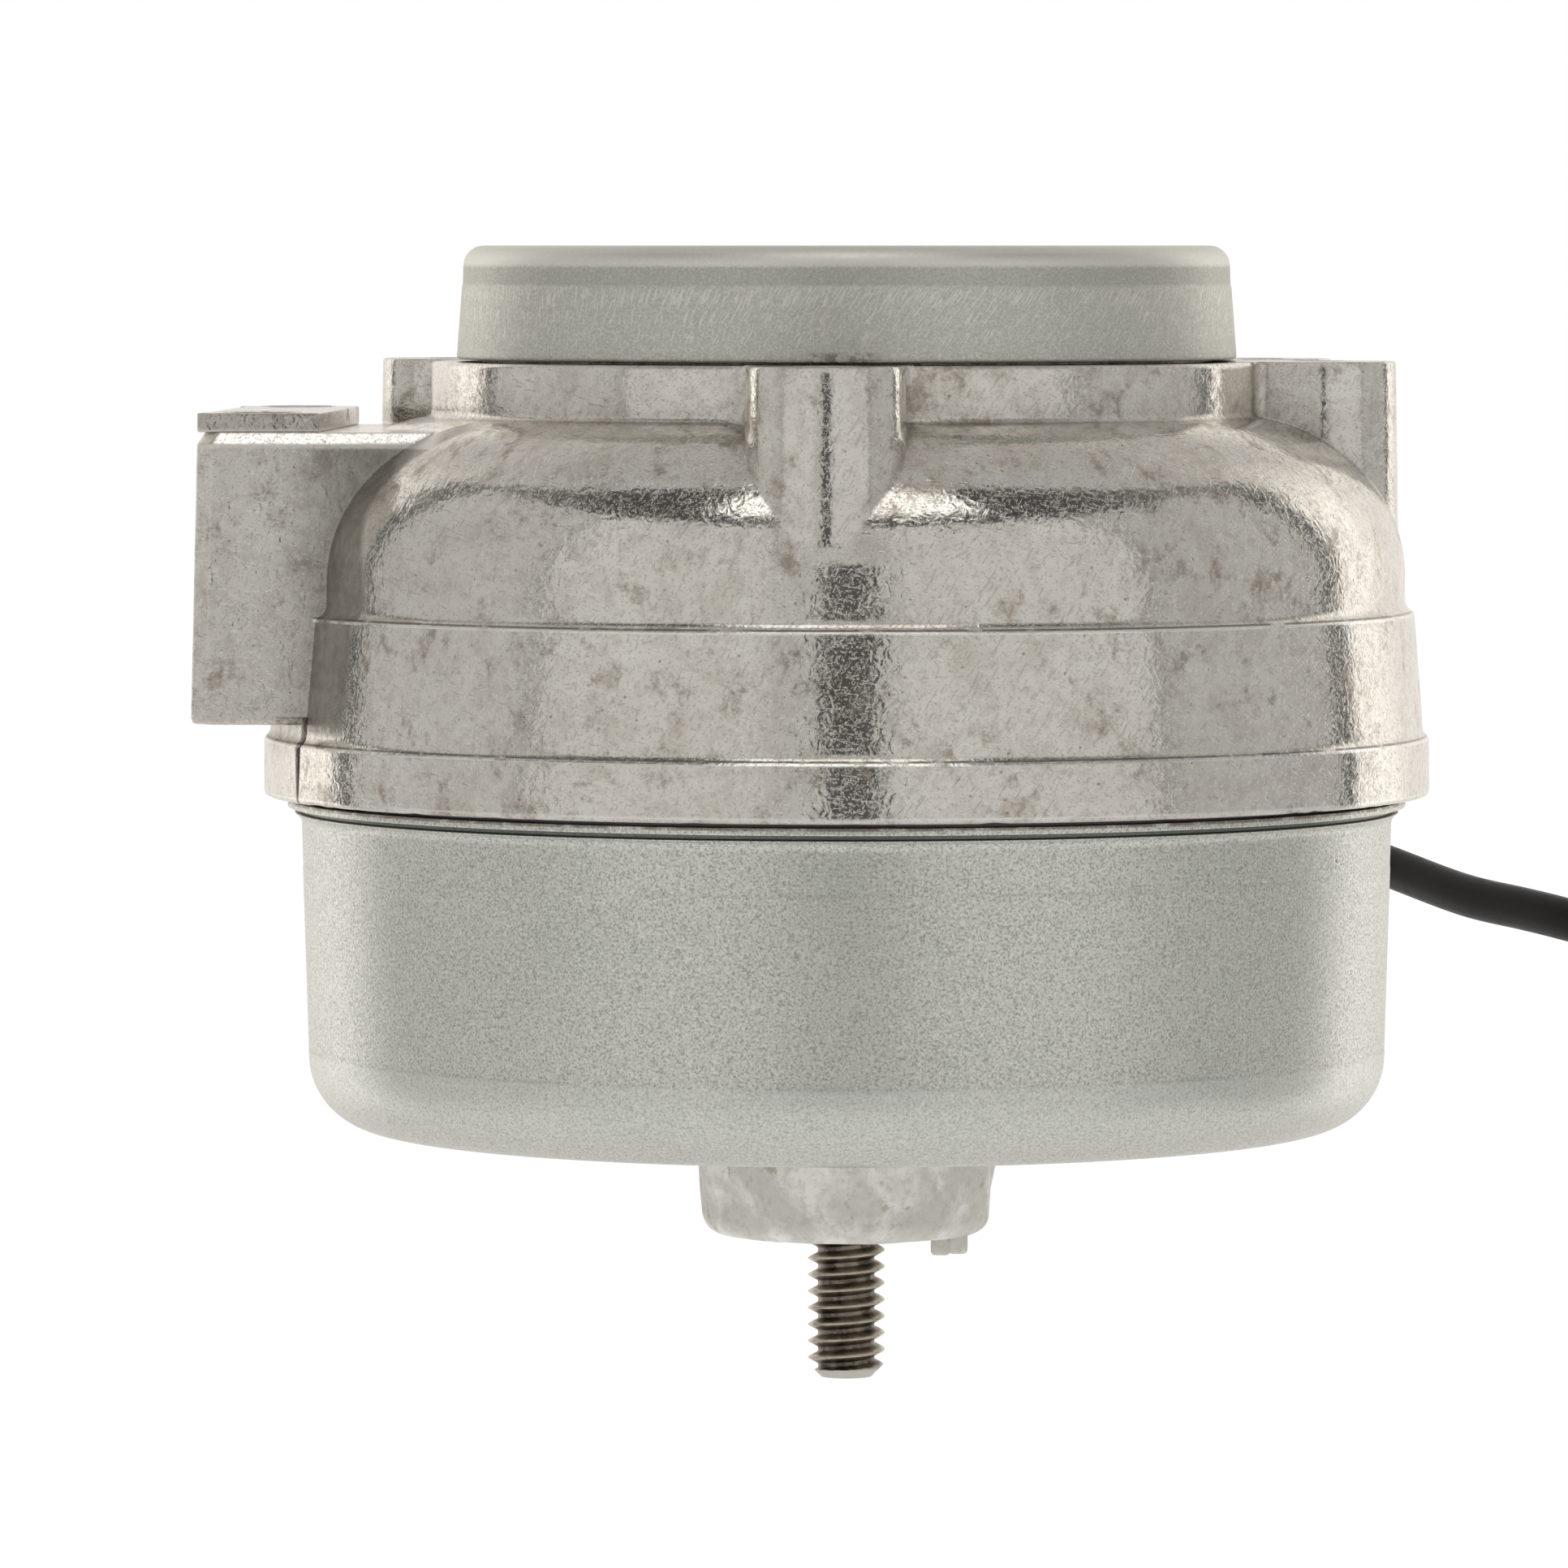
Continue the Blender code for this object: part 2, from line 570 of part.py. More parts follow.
def make_wiring(nylon, brass, black, rubber, metal):
    block("terminal_block", TERMINALS_LOW, TERMINALS_HIGH, nylon, edge=0.3)
    for number, y in enumerate(TAB_PLACES, 1):
        tab = block(f"terminal_tab_{number}", TAB_LOW, TAB_HIGH, brass, edge=0.1)
        tab.location.y = y * MM
    half = Vector(PROTECTOR_HALF_SIZE)
    can = block("thermal_protector", -half, half, metal, edge=0.8)
    can.matrix_world = (Matrix.Rotation(math.radians(PROTECTOR_ANGLE), 4, "Z")
                        @ Matrix.Translation((PROTECTOR_R * MM, 0, PROTECTOR_Z * MM)))

    bend_r, bend_z = INNER_LEAD_BEND
    route = [(*around(GROMMET_ANGLE, 30.2), GROMMET_Z), (*around(GROMMET_ANGLE + 4, 26.0), -14.6)]
    route += [(*around(angle, bend_r), bend_z) for angle in range(185, 256, 14)]
    tube("internal_lead", smooth_route([*route, *INNER_LEAD_END], 6.0), INNER_LEAD_R, black)

    flange_tip, flange_foot = GROMMET_FLANGE
    lip_tip, lip_foot = GROMMET_LIP
    relief = [(RELIEF_R[0], GROMMET_TIP), (RELIEF_R[1], flange_tip), (GROMMET_FLANGE_R, flange_tip)]
    relief += [(GROMMET_FLANGE_R, flange_foot), (GROMMET_NECK_R, flange_foot), (GROMMET_NECK_R, lip_tip)]
    relief += [(GROMMET_LIP_R, lip_tip), (GROMMET_LIP_R, lip_foot)]
    relief += [(LEAD_R + GAP, lip_foot), (LEAD_R + GAP, GROMMET_TIP)]
    aim_outward(turned("lead_grommet", relief, rubber))

    spacing = 2.1 * 2 * LEAD_R
    tube("power_lead", smooth_route(LEAD_ROUTE, spacing), LEAD_R, black)
    coil = turned("lead_coil", [
        (COIL_OUTER - COIL_EDGE, COIL_HIGH), (COIL_OUTER, COIL_HIGH - COIL_EDGE),
        (COIL_OUTER, COIL_LOW + COIL_EDGE), (COIL_OUTER - COIL_EDGE, COIL_LOW),
        (COIL_INNER + COIL_EDGE, COIL_LOW), (COIL_INNER, COIL_LOW + COIL_EDGE),
        (COIL_INNER, COIL_HIGH - COIL_EDGE), (COIL_INNER + COIL_EDGE, COIL_HIGH)], black, 36)
    coil.location = (COIL_CENTRE[0] * MM, COIL_CENTRE[1] * MM, 0)
    tube("lead_tail", smooth_route(TAIL_ROUTE, spacing / 2), LEAD_R, black)

    half_x = (COIL_OUTER - COIL_INNER) / 2 + GAP
    half_z = (COIL_HIGH - COIL_LOW) / 2 + GAP
    tie = outline_plate("lead_tie", [
        rounded_rectangle(half_x + TIE_SHEET, half_z + TIE_SHEET, 0.9),
        rounded_rectangle(half_x, half_z, 0.4)], TIE_WIDTH, black)
    turn = math.radians(TIE_ANGLE)
    outward = Vector((math.cos(turn), math.sin(turn), 0))
    across = Vector((math.sin(turn), -math.cos(turn), 0))
    frame = Matrix((outward, Vector((0, 0, 1)), across)).transposed().to_4x4()
    middle = Vector((*COIL_CENTRE, (COIL_LOW + COIL_HIGH) / 2)) + outward * (COIL_OUTER + COIL_INNER) / 2
    tie.matrix_world = Matrix.Translation(middle * MM) @ frame

    shell = block("connector_body", CONNECTOR_LOW, CONNECTOR_HIGH, nylon, edge=0.4)
    room = Vector((CONTACT_ROOM, CONTACT_ROOM, CONTACT_ROOM))
    for number, x in enumerate(CONTACT_PLACES, 1):
        cavity = block(f"contact_cavity_{number}", Vector(CONTACT_LOW) - room,
                       Vector(CONTACT_HIGH) + room + Vector((0, 2, 0)), helper=True)
        cavity.location.x = x * MM
        combine(shell, cavity, "DIFFERENCE")
        contact = block(f"connector_contact_{number}", CONTACT_LOW, CONTACT_HIGH, brass, edge=0.15)
        contact.location.x = x * MM


# ---------------------------------------------------------------- the whole motor

clear_scene()
PARTS = new_collection("unit_bearing_fan_motor")
CUTTERS = new_collection("cutters")

aluminium = new_material("cast_aluminium", (0.55, 0.54, 0.51), 0.38, 1.0)
zinc = new_material("zinc_plated_steel", (0.60, 0.63, 0.60), 0.36, 1.0)
hub_casting = new_material("matt_casting", (0.50, 0.50, 0.47), 0.60, 0.7)
stud_steel = new_material("stud_steel", (0.22, 0.19, 0.16), 0.40, 1.0)
ground_steel = new_material("ground_steel", (0.55, 0.56, 0.58), 0.25, 1.0)
lamination = new_material("lamination_steel", (0.30, 0.31, 0.33), 0.45, 1.0)
copper = new_material("copper", (0.72, 0.34, 0.20), 0.30, 1.0)
enamel = new_material("enamelled_wire", (0.45, 0.16, 0.06), 0.35, 0.6)
bronze = new_material("sintered_bronze", (0.48, 0.33, 0.18), 0.50, 1.0)
brass = new_material("brass", (0.70, 0.55, 0.25), 0.30, 1.0)
nylon = new_material("nylon", (0.80, 0.78, 0.70), 0.45, 0.0)
felt = new_material("oil_felt", (0.55, 0.50, 0.38), 0.95, 0.0)
rubber = new_material("rubber", (0.03, 0.03, 0.03), 0.60, 0.0)
black_jacket = new_material("black_jacket", (0.03, 0.027, 0.024), 0.42, 0.0)

make_housing(aluminium)
make_cap(zinc)
make_can(zinc)
make_cover(aluminium, ground_steel)
make_stator(lamination, nylon, enamel, copper)
make_bearing(bronze, felt, rubber)
make_rotor(lamination, hub_casting, ground_steel, stud_steel, nylon)
make_wiring(nylon, brass, black_jacket, rubber, ground_steel)
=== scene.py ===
"""The looks of the unit-bearing fan motor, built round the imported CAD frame.

Shapes are worked out in millimetres and become metres by MM. Places come from the frame's nodes wherever it
holds them.
"""

import math

import bmesh
import bpy
from mathutils import Matrix, Vector, noise


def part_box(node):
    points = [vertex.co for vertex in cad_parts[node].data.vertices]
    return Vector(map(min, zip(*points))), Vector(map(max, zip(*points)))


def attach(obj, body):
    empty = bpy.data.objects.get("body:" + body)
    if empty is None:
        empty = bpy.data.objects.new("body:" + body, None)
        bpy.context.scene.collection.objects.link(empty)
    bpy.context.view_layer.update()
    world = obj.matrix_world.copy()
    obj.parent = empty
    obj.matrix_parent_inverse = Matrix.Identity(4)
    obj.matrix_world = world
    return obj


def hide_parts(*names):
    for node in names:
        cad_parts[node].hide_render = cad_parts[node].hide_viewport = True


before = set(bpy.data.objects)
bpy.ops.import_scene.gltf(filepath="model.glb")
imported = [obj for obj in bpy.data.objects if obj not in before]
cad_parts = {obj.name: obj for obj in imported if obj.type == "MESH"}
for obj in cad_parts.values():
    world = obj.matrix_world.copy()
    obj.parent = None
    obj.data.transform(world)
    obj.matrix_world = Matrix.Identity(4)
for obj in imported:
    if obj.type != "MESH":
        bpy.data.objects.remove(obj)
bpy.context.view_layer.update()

MM = 0.001

# ---------------------------------------------------------------- camera

CAMERA_AZIMUTH = math.radians(2.4)
CAMERA_DISTANCE = 649.5 * MM
CAMERA_HEIGHT = 7.4 * MM
LOOK_SIDE = -3.97 * MM
LOOK_HEIGHT = -26.9 * MM
LENS = 234.8

to_camera = Vector((math.sin(CAMERA_AZIMUTH), -math.cos(CAMERA_AZIMUTH), 0))
image_right = Vector((math.cos(CAMERA_AZIMUTH), math.sin(CAMERA_AZIMUTH), 0))


def make_camera():
    data = bpy.data.cameras.new("camera")
    data.lens = LENS
    data.sensor_width = 36
    data.clip_start = 0.05
    data.clip_end = 20
    camera = linked("camera", data)
    camera.location = to_camera * CAMERA_DISTANCE + Vector((0, 0, CAMERA_HEIGHT))
    aim = image_right * LOOK_SIDE + Vector((0, 0, LOOK_HEIGHT)) - camera.location
    camera.rotation_euler = aim.to_track_quat("-Z", "Y").to_euler()
    bpy.context.scene.camera = camera


# ---------------------------------------------------------------- node materials

class Nodes:
    """A node tree with short calls for the few kinds of node that the materials need."""

    def __init__(self, tree):
        self.tree = tree
        self.links = tree.links

    def add(self, kind, inputs=None, **settings):
        node = self.tree.nodes.new("ShaderNode" + kind)
        for key, value in settings.items():
            setattr(node, key, value)
        for key, value in (inputs or {}).items():
            self.feed(node.inputs[key], value)
        return node

    def feed(self, socket, value):
        if isinstance(value, bpy.types.NodeSocket):
            self.links.new(value, socket)
        else:
            socket.default_value = value

    def math(self, operation, a, b=0.0):
        return self.add("Math", {0: a, 1: b}, operation=operation).outputs[0]

    def times(self, a, b):
        return self.math("MULTIPLY", a, b)

    def more(self, value, share, amount):
        return self.math("ADD", value, self.times(share, amount))

    def span(self, value, low, high, to_low=0.0, to_high=1.0, smooth=True):
        """Maps low..high to to_low..to_high, clamped."""
        node = self.add("MapRange", {0: value, 1: low, 2: high, 3: to_low, 4: to_high})
        node.interpolation_type = "SMOOTHSTEP" if smooth else "LINEAR"
        return node.outputs[0]

    def fall(self, value, low, high):
        """1 up to low, 0 from high."""
        return self.span(value, low, high, 1.0, 0.0)

    def inside(self, value, low, high, soft):
        """1 between low and high, with soft edges."""
        rises = self.span(value, low - soft, low + soft)
        return self.times(rises, self.fall(value, high - soft, high + soft))

    def mix(self, share, a, b):
        node = self.add("Mix", {"Factor": share}, data_type="RGBA")
        self.feed(node.inputs[6], rgba(a))
        self.feed(node.inputs[7], rgba(b))
        return node.outputs[2]

    def blend(self, share, a, b):
        """A number between a and b."""
        return self.add("Mix", {0: share, 2: a, 3: b}, data_type="FLOAT").outputs[0]


def rgba(colour):
    return colour if isinstance(colour, bpy.types.NodeSocket) else (*colour, 1.0)


class Paint(Nodes):
    """A Principled material whose textures are set out in millimetres of the row frame."""

    def __init__(self, name, metallic, **fixed):
        self.material = bpy.data.materials.new(name)
        self.material.use_nodes = True
        super().__init__(self.material.node_tree)
        self.shader = self.tree.nodes["Principled BSDF"]
        self.shader.inputs["Metallic"].default_value = metallic
        for key, value in fixed.items():
            self.shader.inputs[key.replace("_", " ")].default_value = value
        place = self.add("TexCoord").outputs["Object"]
        self.place = self.add("VectorMath", {0: place, 1: (1000, 1000, 1000)},
                              operation="MULTIPLY").outputs[0]
        split = self.add("SeparateXYZ", {0: self.place})
        self.x, self.y, self.z = split.outputs
        self.colour = None
        self.bump_from = None

    def from_axis(self):
        """Distance from the Z axis."""
        return self.math("SQRT", self.math("ADD", self.times(self.x, self.x), self.times(self.y, self.y)))

    def stretched(self, grain, turn=(0, 0, 0)):
        """Coordinates turned and then divided by a grain's length, width and depth in millimetres."""
        node = self.add("Mapping", {0: self.place, "Scale": grain, "Rotation": turn},
                        vector_type="TEXTURE")
        return node.outputs[0]

    def crevices(self, reach_mm):
        """1 deep in corners and gaps, 0 on open faces."""
        node = self.add("AmbientOcclusion", {"Distance": reach_mm * MM}, samples=6)
        return self.span(node.outputs["AO"], 0.35, 0.95, 1.0, 0.0)

    def soften_edges(self, radius_mm):
        """Shades the edges as if rounded by a small radius."""
        self.bump_from = self.add("Bevel", {"Radius": radius_mm * MM}, samples=4).outputs[0]

    def noise(self, scale, detail=3.0, rough=0.55, place=None, distortion=0.0):
        node = self.add("TexNoise", {"Vector": place or self.place, "Scale": scale, "Detail": detail,
                                     "Roughness": rough, "Distortion": distortion})
        return node.outputs[0]

    def cells(self, scale):
        """Distance to the nearest of the points scattered about."""
        return self.add("TexVoronoi", {"Vector": self.place, "Scale": scale}).outputs[0]

    def lay(self, share, colour):
        """Lays a colour over what is painted so far."""
        self.colour = self.mix(share, self.colour, colour)

    def bump(self, height, depth_mm):
        node = self.add("Bump", {"Height": height, "Distance": depth_mm * MM, "Strength": 1.0})
        if self.bump_from:
            self.links.new(self.bump_from, node.inputs["Normal"])
        self.bump_from = node.outputs[0]

    def done(self, roughness):
        self.feed(self.shader.inputs["Base Color"], rgba(self.colour))
        self.feed(self.shader.inputs["Roughness"], roughness)
        if self.bump_from:
            self.links.new(self.bump_from, self.shader.inputs["Normal"])
        self.material.diffuse_color = (0.6, 0.6, 0.6, 1)
        return self.material


def cast_aluminium(name="cast_aluminium", edges=(), rounding=0.3, grime=1.0):
    """As-cast aluminium: hammered skin, hair scratches, brownish stains, pits, painted shade in the corners
    and beside the block (partly grime), worn edges with painted highlights, a painted highlight on the
    block's top chamfer.
    """
    p = Paint(name, 1.0)
    cloud = p.noise(0.13, 5.0, 0.6)
    patch = p.span(p.noise(0.42, 4.0, 0.62), 0.48, 0.66)
    mottle = p.noise(1.3, 4.0, 0.62)
    grain = p.noise(5.5, 2.0, 0.6)
    stain = p.span(p.noise(0.33, 8.0, 0.74), 0.53, 0.65)
    p.colour = p.mix(p.span(cloud, 0.3, 0.7), (0.815, 0.790, 0.742), (0.890, 0.868, 0.822))
    p.lay(p.times(patch, 0.34), (0.60, 0.53, 0.445))
    p.lay(p.span(mottle, 0.46, 0.66, 0.0, 0.36), (0.57, 0.53, 0.475))
    p.lay(p.span(grain, 0.48, 0.72, 0.0, 0.18), (0.50, 0.48, 0.44))
    p.lay(p.times(stain, p.span(mottle, 0.3, 0.6, 0.2, 0.8)), (0.40, 0.34, 0.275))
    specks = p.fall(p.cells(0.75), 0.045, 0.085)
    p.lay(p.times(specks, 0.6), (0.20, 0.18, 0.16))

    dark_hairs = hairs(p, ((0.3, 0.5, 0.9), (-0.7, 0.2, -0.8), (0.1, -1.0, 0.4)), 0.675)
    pale_hairs = hairs(p, ((0.9, 0.1, 0.2), (-0.2, -0.6, 1.3)), 0.67)
    p.lay(p.times(dark_hairs, 0.32), (0.31, 0.285, 0.26))
    p.lay(p.times(pale_hairs, 0.42), (0.96, 0.945, 0.91))
    # painted shade: corners and gaps found by ambient occlusion are darkened with a brown tint that also
    # stands for grime
    corner = p.crevices(3.2)
    p.lay(p.times(corner, p.span(mottle, 0.3, 0.65, 0.42, 0.75)), (0.27, 0.24, 0.205))
    # painted shade: the hollows beside the junction block are darkened
    hollow = beside_block(p)
    p.lay(p.times(hollow, p.span(mottle, 0.35, 0.65, 0.74, 0.90)), (0.31, 0.29, 0.265))
    if grime > 1.0:
        p.lay(grime - 1.0, (0.42, 0.375, 0.33))
    # painted highlight: a pale warm strip along the junction block's top chamfer
    chamfer_highlight = p.times(p.inside(p.z, BLOCK_HIGH[2] - 1.0, BLOCK_HIGH[2] + 0.2, 0.1),
                   p.fall(p.x, -25.0, -24.0))
    p.lay(p.times(chamfer_highlight, 0.7), (0.95, 0.925, 0.875))

    roughness = p.blend(p.span(p.noise(0.5, 4.0, 0.6), 0.3, 0.7), 0.065, 0.115)
    roughness = p.more(roughness, stain, 0.14)
    roughness = p.math("ADD", roughness, p.span(grain, 0.5, 0.8, 0.0, 0.03))
    roughness = p.more(roughness, p.math("MAXIMUM", corner, hollow), 0.16)
    roughness = p.more(roughness, chamfer_highlight, 0.07)
    if edges:
        p.lay(edge_lines(p, edges, 0.03, 0.14, 1.1, 0.85), (0.20, 0.17, 0.14))
        # painted highlight: pale broken lines on the worn rims of the turned edges
        p.lay(edge_lines(p, edges, -0.17, 0.0, 0.3, 0.95), (0.99, 0.985, 0.97))
        # a pale broken line painted just above the flange's lower edge
        flange_low_line = ((FLANGE_R, FLANGE_BOTTOM + 0.30),)
        p.lay(edge_lines(p, flange_low_line, -0.06, 0.08, 0.3, 0.65), (0.97, 0.96, 0.94))
    p.soften_edges(rounding)
    p.bump(p.noise(1.15, 1.2, 0.5, distortion=1.4), 0.022)
    p.bump(p.noise(4.2, 1.0, 0.5, distortion=1.0), 0.003)
    p.bump(dark_hairs, -0.009)
    p.bump(pale_hairs, -0.008)
    p.bump(specks, -0.02)
    return p.done(roughness)


def beside_block(p):
    """1 in the two upright hollows where the dome and band meet the junction block: the mask for painted
    shade.
    """
    middle = (BLOCK_LOW[1] + BLOCK_HIGH[1]) / 2
    half = (BLOCK_HIGH[1] - BLOCK_LOW[1]) / 2
    off = p.math("ABSOLUTE", p.math("SUBTRACT", p.y, middle))
    beyond = p.math("SUBTRACT", off, p.span(p.z, -14.0, -7.5, half + 4.8, half + 2.7))
    hollow = p.times(p.span(off, half + 0.06, half + 0.22), p.fall(beyond, -0.35, 0.35))
    hollow = p.times(hollow, p.fall(p.x, -23.5, -21.0))
    return p.times(hollow, p.span(p.z, FLANGE_TOP + 0.4, FLANGE_TOP + 1.0))


def hairs(p, turns, rarity):
    """Fine strokes about a millimetre long, in a few directions."""
    strokes = None
    for turn in turns:
        field = p.noise(1.0, 1.0, 0.5, p.stretched((1.3, 0.17, 0.17), turn), 0.25)
        stroke = p.span(field, rarity - 0.03, rarity + 0.02)
        strokes = stroke if strokes is None else p.math("MAXIMUM", strokes, stroke)
    return strokes


def edge_lines(p, edges, low, high, reach, strength):
    """A broken line along each turned edge, given as (radius, height), from low to high above it."""
    radius = p.from_axis()
    lines = None
    broken = p.span(p.noise(0.5, 4.0, 0.6), 0.32, 0.48)
    for edge_r, edge_z in edges:
        near_r = p.inside(radius, edge_r - reach, edge_r + 0.16, 0.04)
        near_z = p.inside(p.z, edge_z + low, edge_z + high, 0.03)
        line = p.times(near_r, near_z)
        lines = line if lines is None else p.math("MAXIMUM", lines, line)
    return p.times(lines, p.times(broken, strength))


def zinc(name, low, high, sparkle):
    """Zinc plating on drawn sheet: sparkling grain, soft clouds and a few dark specks."""
    p = Paint(name, 1.0)
    grain = p.noise(6.2, 2.0, 0.72)
    cloud = p.noise(0.09, 4.0, 0.55)
    p.colour = p.mix(p.span(cloud, 0.3, 0.7), low, high)
    p.lay(p.span(grain, 0.50, 0.66, 0.0, sparkle), (0.46, 0.475, 0.430))
    p.lay(p.span(grain, 0.34, 0.48, sparkle, 0.0), (0.95, 0.965, 0.925))
    specks = p.fall(p.cells(0.14), 0.014, 0.022)
    p.lay(p.times(specks, 0.8), (0.16, 0.15, 0.13))
    p.bump(grain, 0.013 * sparkle)
    p.bump(p.noise(2.2, 2.0, 0.5), 0.003)
    return p, p.blend(p.span(grain, 0.3, 0.7), 0.33, 0.42)


def zinc_can():
    """The can's plating, with two faint rings left by the draw, a rusty line on the lip, painted shade in
    the groove under the lip and painted light on its lower part.
    """
    p, roughness = zinc("zinc_can", (0.735, 0.752, 0.712), (0.795, 0.808, 0.768), 1.0)
    for height, strength in zip(CAN_RINGS, (0.28, 0.45)):
        ring = p.inside(p.z, height - 0.10, height + 0.10, 0.16)
        broken = p.span(p.noise(0.10, 4.0, 0.6), 0.35, 0.65)
        p.lay(p.times(p.times(ring, broken), strength), (0.48, 0.47, 0.42))
    # painted light: the can from the lower ring down round its bottom curve is painted paler
    p.lay(p.span(p.z, -43.75, -43.55, 0.30, 0.0), (0.90, 0.925, 0.895))
    top = can_high.z + CAN_RAISED
    rust = p.times(p.span(p.z, top - 0.24, top - 0.16), p.span(p.noise(0.5, 5.0, 0.7), 0.38, 0.52))
    p.lay(p.times(rust, 0.75), (0.25, 0.19, 0.155))
    # painted shade: a dark line in the groove under the lip
    p.lay(p.times(p.inside(p.z, top - 0.80, top - 0.50, 0.03), 0.85), (0.13, 0.14, 0.125))
    return p.done(roughness)


def zinc_cap():
    """The cap's plating: a paler painted highlight on the rounded top edge, a darker band under it, wiping
    marks below it, grime at the front.
    """
    p, roughness = zinc("zinc_cap", (0.630, 0.634, 0.578), (0.685, 0.686, 0.630), 0.42)
    line = cap_high.z - 2.46
    band = p.inside(p.z, line, cap_high.z - 1.37, 0.12)
    # painted highlight: the rounded top edge and the top are painted paler
    p.lay(p.span(p.z, cap_high.z - 1.4, cap_high.z - 1.1, 0.0, 0.75), (0.93, 0.925, 0.87))
    scuffs = hairs(p, ((0, 0, 0.5), (0, 0, -0.9), (0, 0, 2.0)), 0.66)
    p.lay(p.times(scuffs, 0.22), (0.96, 0.955, 0.92))
    p.lay(p.times(band, 0.30), (0.40, 0.40, 0.365))

    along = p.times(p.math("ARCTAN2", p.x, p.times(p.y, -1.0)), CAP_R)
    lean = p.times(p.span(along, -22, 12, 0.05, 0.75, smooth=False), p.z)
    across = p.math("DIVIDE", p.math("SUBTRACT", along, lean), 0.135)
    flat = p.add("CombineXYZ", {0: across, 1: p.math("DIVIDE", p.z, 1.15)}).outputs[0]
    brush = p.noise(1.0, 1.0, 0.5, flat, 0.2)
    least = p.span(p.z, cap_low.z + 0.6, line, 0.62, 0.50, smooth=False)
    mark = p.span(p.math("SUBTRACT", brush, least), 0.0, 0.06)
    mark = p.times(mark, p.inside(p.z, cap_low.z + 0.5, line - 0.1, 0.2))
    p.lay(p.times(mark, 0.46), (0.98, 0.975, 0.92))

    grime = p.times(p.inside(p.x, -1.4, 2.9, 0.6), p.fall(p.z, cap_low.z + 0.25, cap_low.z + 0.6))
    grime = p.times(grime, p.span(p.noise(1.3, 5.0, 0.7), 0.44, 0.56))
    grime = p.times(grime, p.fall(p.y, -10, 0))
    p.lay(p.times(grime, 0.75), (0.24, 0.23, 0.16))
    p.bump(mark, 0.005)
    return p.done(p.math("ADD", roughness, 0.10))


def matt_casting():
    """The hub's dull, pale die casting with soft worn patches and a few grimy spots."""
    p = Paint("matt_casting", 0.25)
    patches = p.span(p.noise(0.30, 5.0, 0.6, distortion=0.5), 0.42, 0.64)
    mottle = p.span(p.noise(1.6, 6.0, 0.72), 0.44, 0.70)
    grime = p.span(p.noise(0.75, 4.0, 0.7), 0.58, 0.69)
    p.colour = p.mix(patches, (0.640, 0.620, 0.570), (0.840, 0.825, 0.785))
    p.lay(p.times(mottle, 0.62), (0.49, 0.47, 0.415))
    p.lay(p.times(grime, 0.60), (0.34, 0.31, 0.235))
    p.bump(p.noise(3.0, 4.0, 0.6), 0.03)
    p.bump(p.noise(0.7, 2.0, 0.5), 0.08)
    return p.done(p.blend(patches, 0.62, 0.54))


def dark_thread():
    """Rolled thread in darkened steel: oily black roots, and crests worn to bare metal."""
    p = Paint("dark_thread", 1.0)
    radius = p.from_axis()
    crest = p.span(radius, 2.06, 2.34)
    tone = p.noise(0.8, 4.0, 0.65)
    p.colour = p.mix(p.span(tone, 0.4, 0.6), (0.115, 0.098, 0.080), (0.33, 0.29, 0.245))
    p.lay(p.times(crest, p.span(tone, 0.3, 0.6, 0.6, 0.95)), (0.66, 0.60, 0.52))
    tip = p.fall(p.z, stud_low.z + 0.50, stud_low.z + 0.62)
    p.lay(p.times(tip, 0.9), (0.86, 0.84, 0.80))
    p.bump(p.noise(5.0, 3.0, 0.6), 0.008)
    return p.done(p.math("MAXIMUM", p.blend(crest, 0.36, 0.24), p.times(tip, 0.6)))


def black_jacket():
    """Extruded black lead jacket, satin, with faint lengthwise scuffs and dust."""
    p = Paint("black_jacket", 0.0, Specular_IOR_Level=0.2)
    dust = p.span(p.noise(0.8, 5.0, 0.65), 0.5, 0.8)
    p.colour = p.mix(p.times(dust, 0.5), (0.014, 0.012, 0.010), (0.028, 0.024, 0.020))
    p.bump(p.noise(3.0, 3.0, 0.5), 0.006)
    return p.done(p.blend(dust, 0.38, 0.55))


def moulded(name, colour, roughness, grain_mm=0.004):
    """Moulded plastic or rubber with a fine grain and slight flow shading."""
    p = Paint(name, 0.0)
    flow = p.noise(0.3, 4.0, 0.6)
    darker = tuple(c * 0.82 for c in colour)
    p.colour = p.mix(p.span(flow, 0.3, 0.7), darker, colour)
    p.bump(p.noise(9.0, 2.0, 0.6), grain_mm)
    return p.done(p.blend(p.span(p.noise(2.0), 0.3, 0.7), roughness - 0.05, roughness + 0.06))


def machined(name, colour, roughness):
    """Plain metal with fine turning marks round Z."""
    p = Paint(name, 1.0)
    marks = p.noise(1.0, 3.0, 0.6, p.stretched((10, 10, 0.07)))
    p.colour = p.mix(p.span(marks, 0.3, 0.7), tuple(c * 0.85 for c in colour), colour)
    p.bump(marks, 0.004)
    return p.done(p.blend(p.span(p.noise(1.2), 0.3, 0.7), roughness, roughness + 0.1))


def laminated(name):
    """The edges of stacked steel stampings, half a millimetre each."""
    p = Paint(name, 1.0)
    layer = p.math("FRACT", p.times(p.z, 2.0))
    joint = p.inside(layer, 0.0, 0.12, 0.03)
    rust = p.span(p.noise(0.6, 5.0, 0.65), 0.55, 0.75)
    p.colour = p.mix(joint, (0.34, 0.35, 0.37), (0.10, 0.10, 0.11))
    p.lay(p.times(rust, 0.4), (0.30, 0.20, 0.13))
    p.bump(joint, -0.03)
    return p.done(0.42)


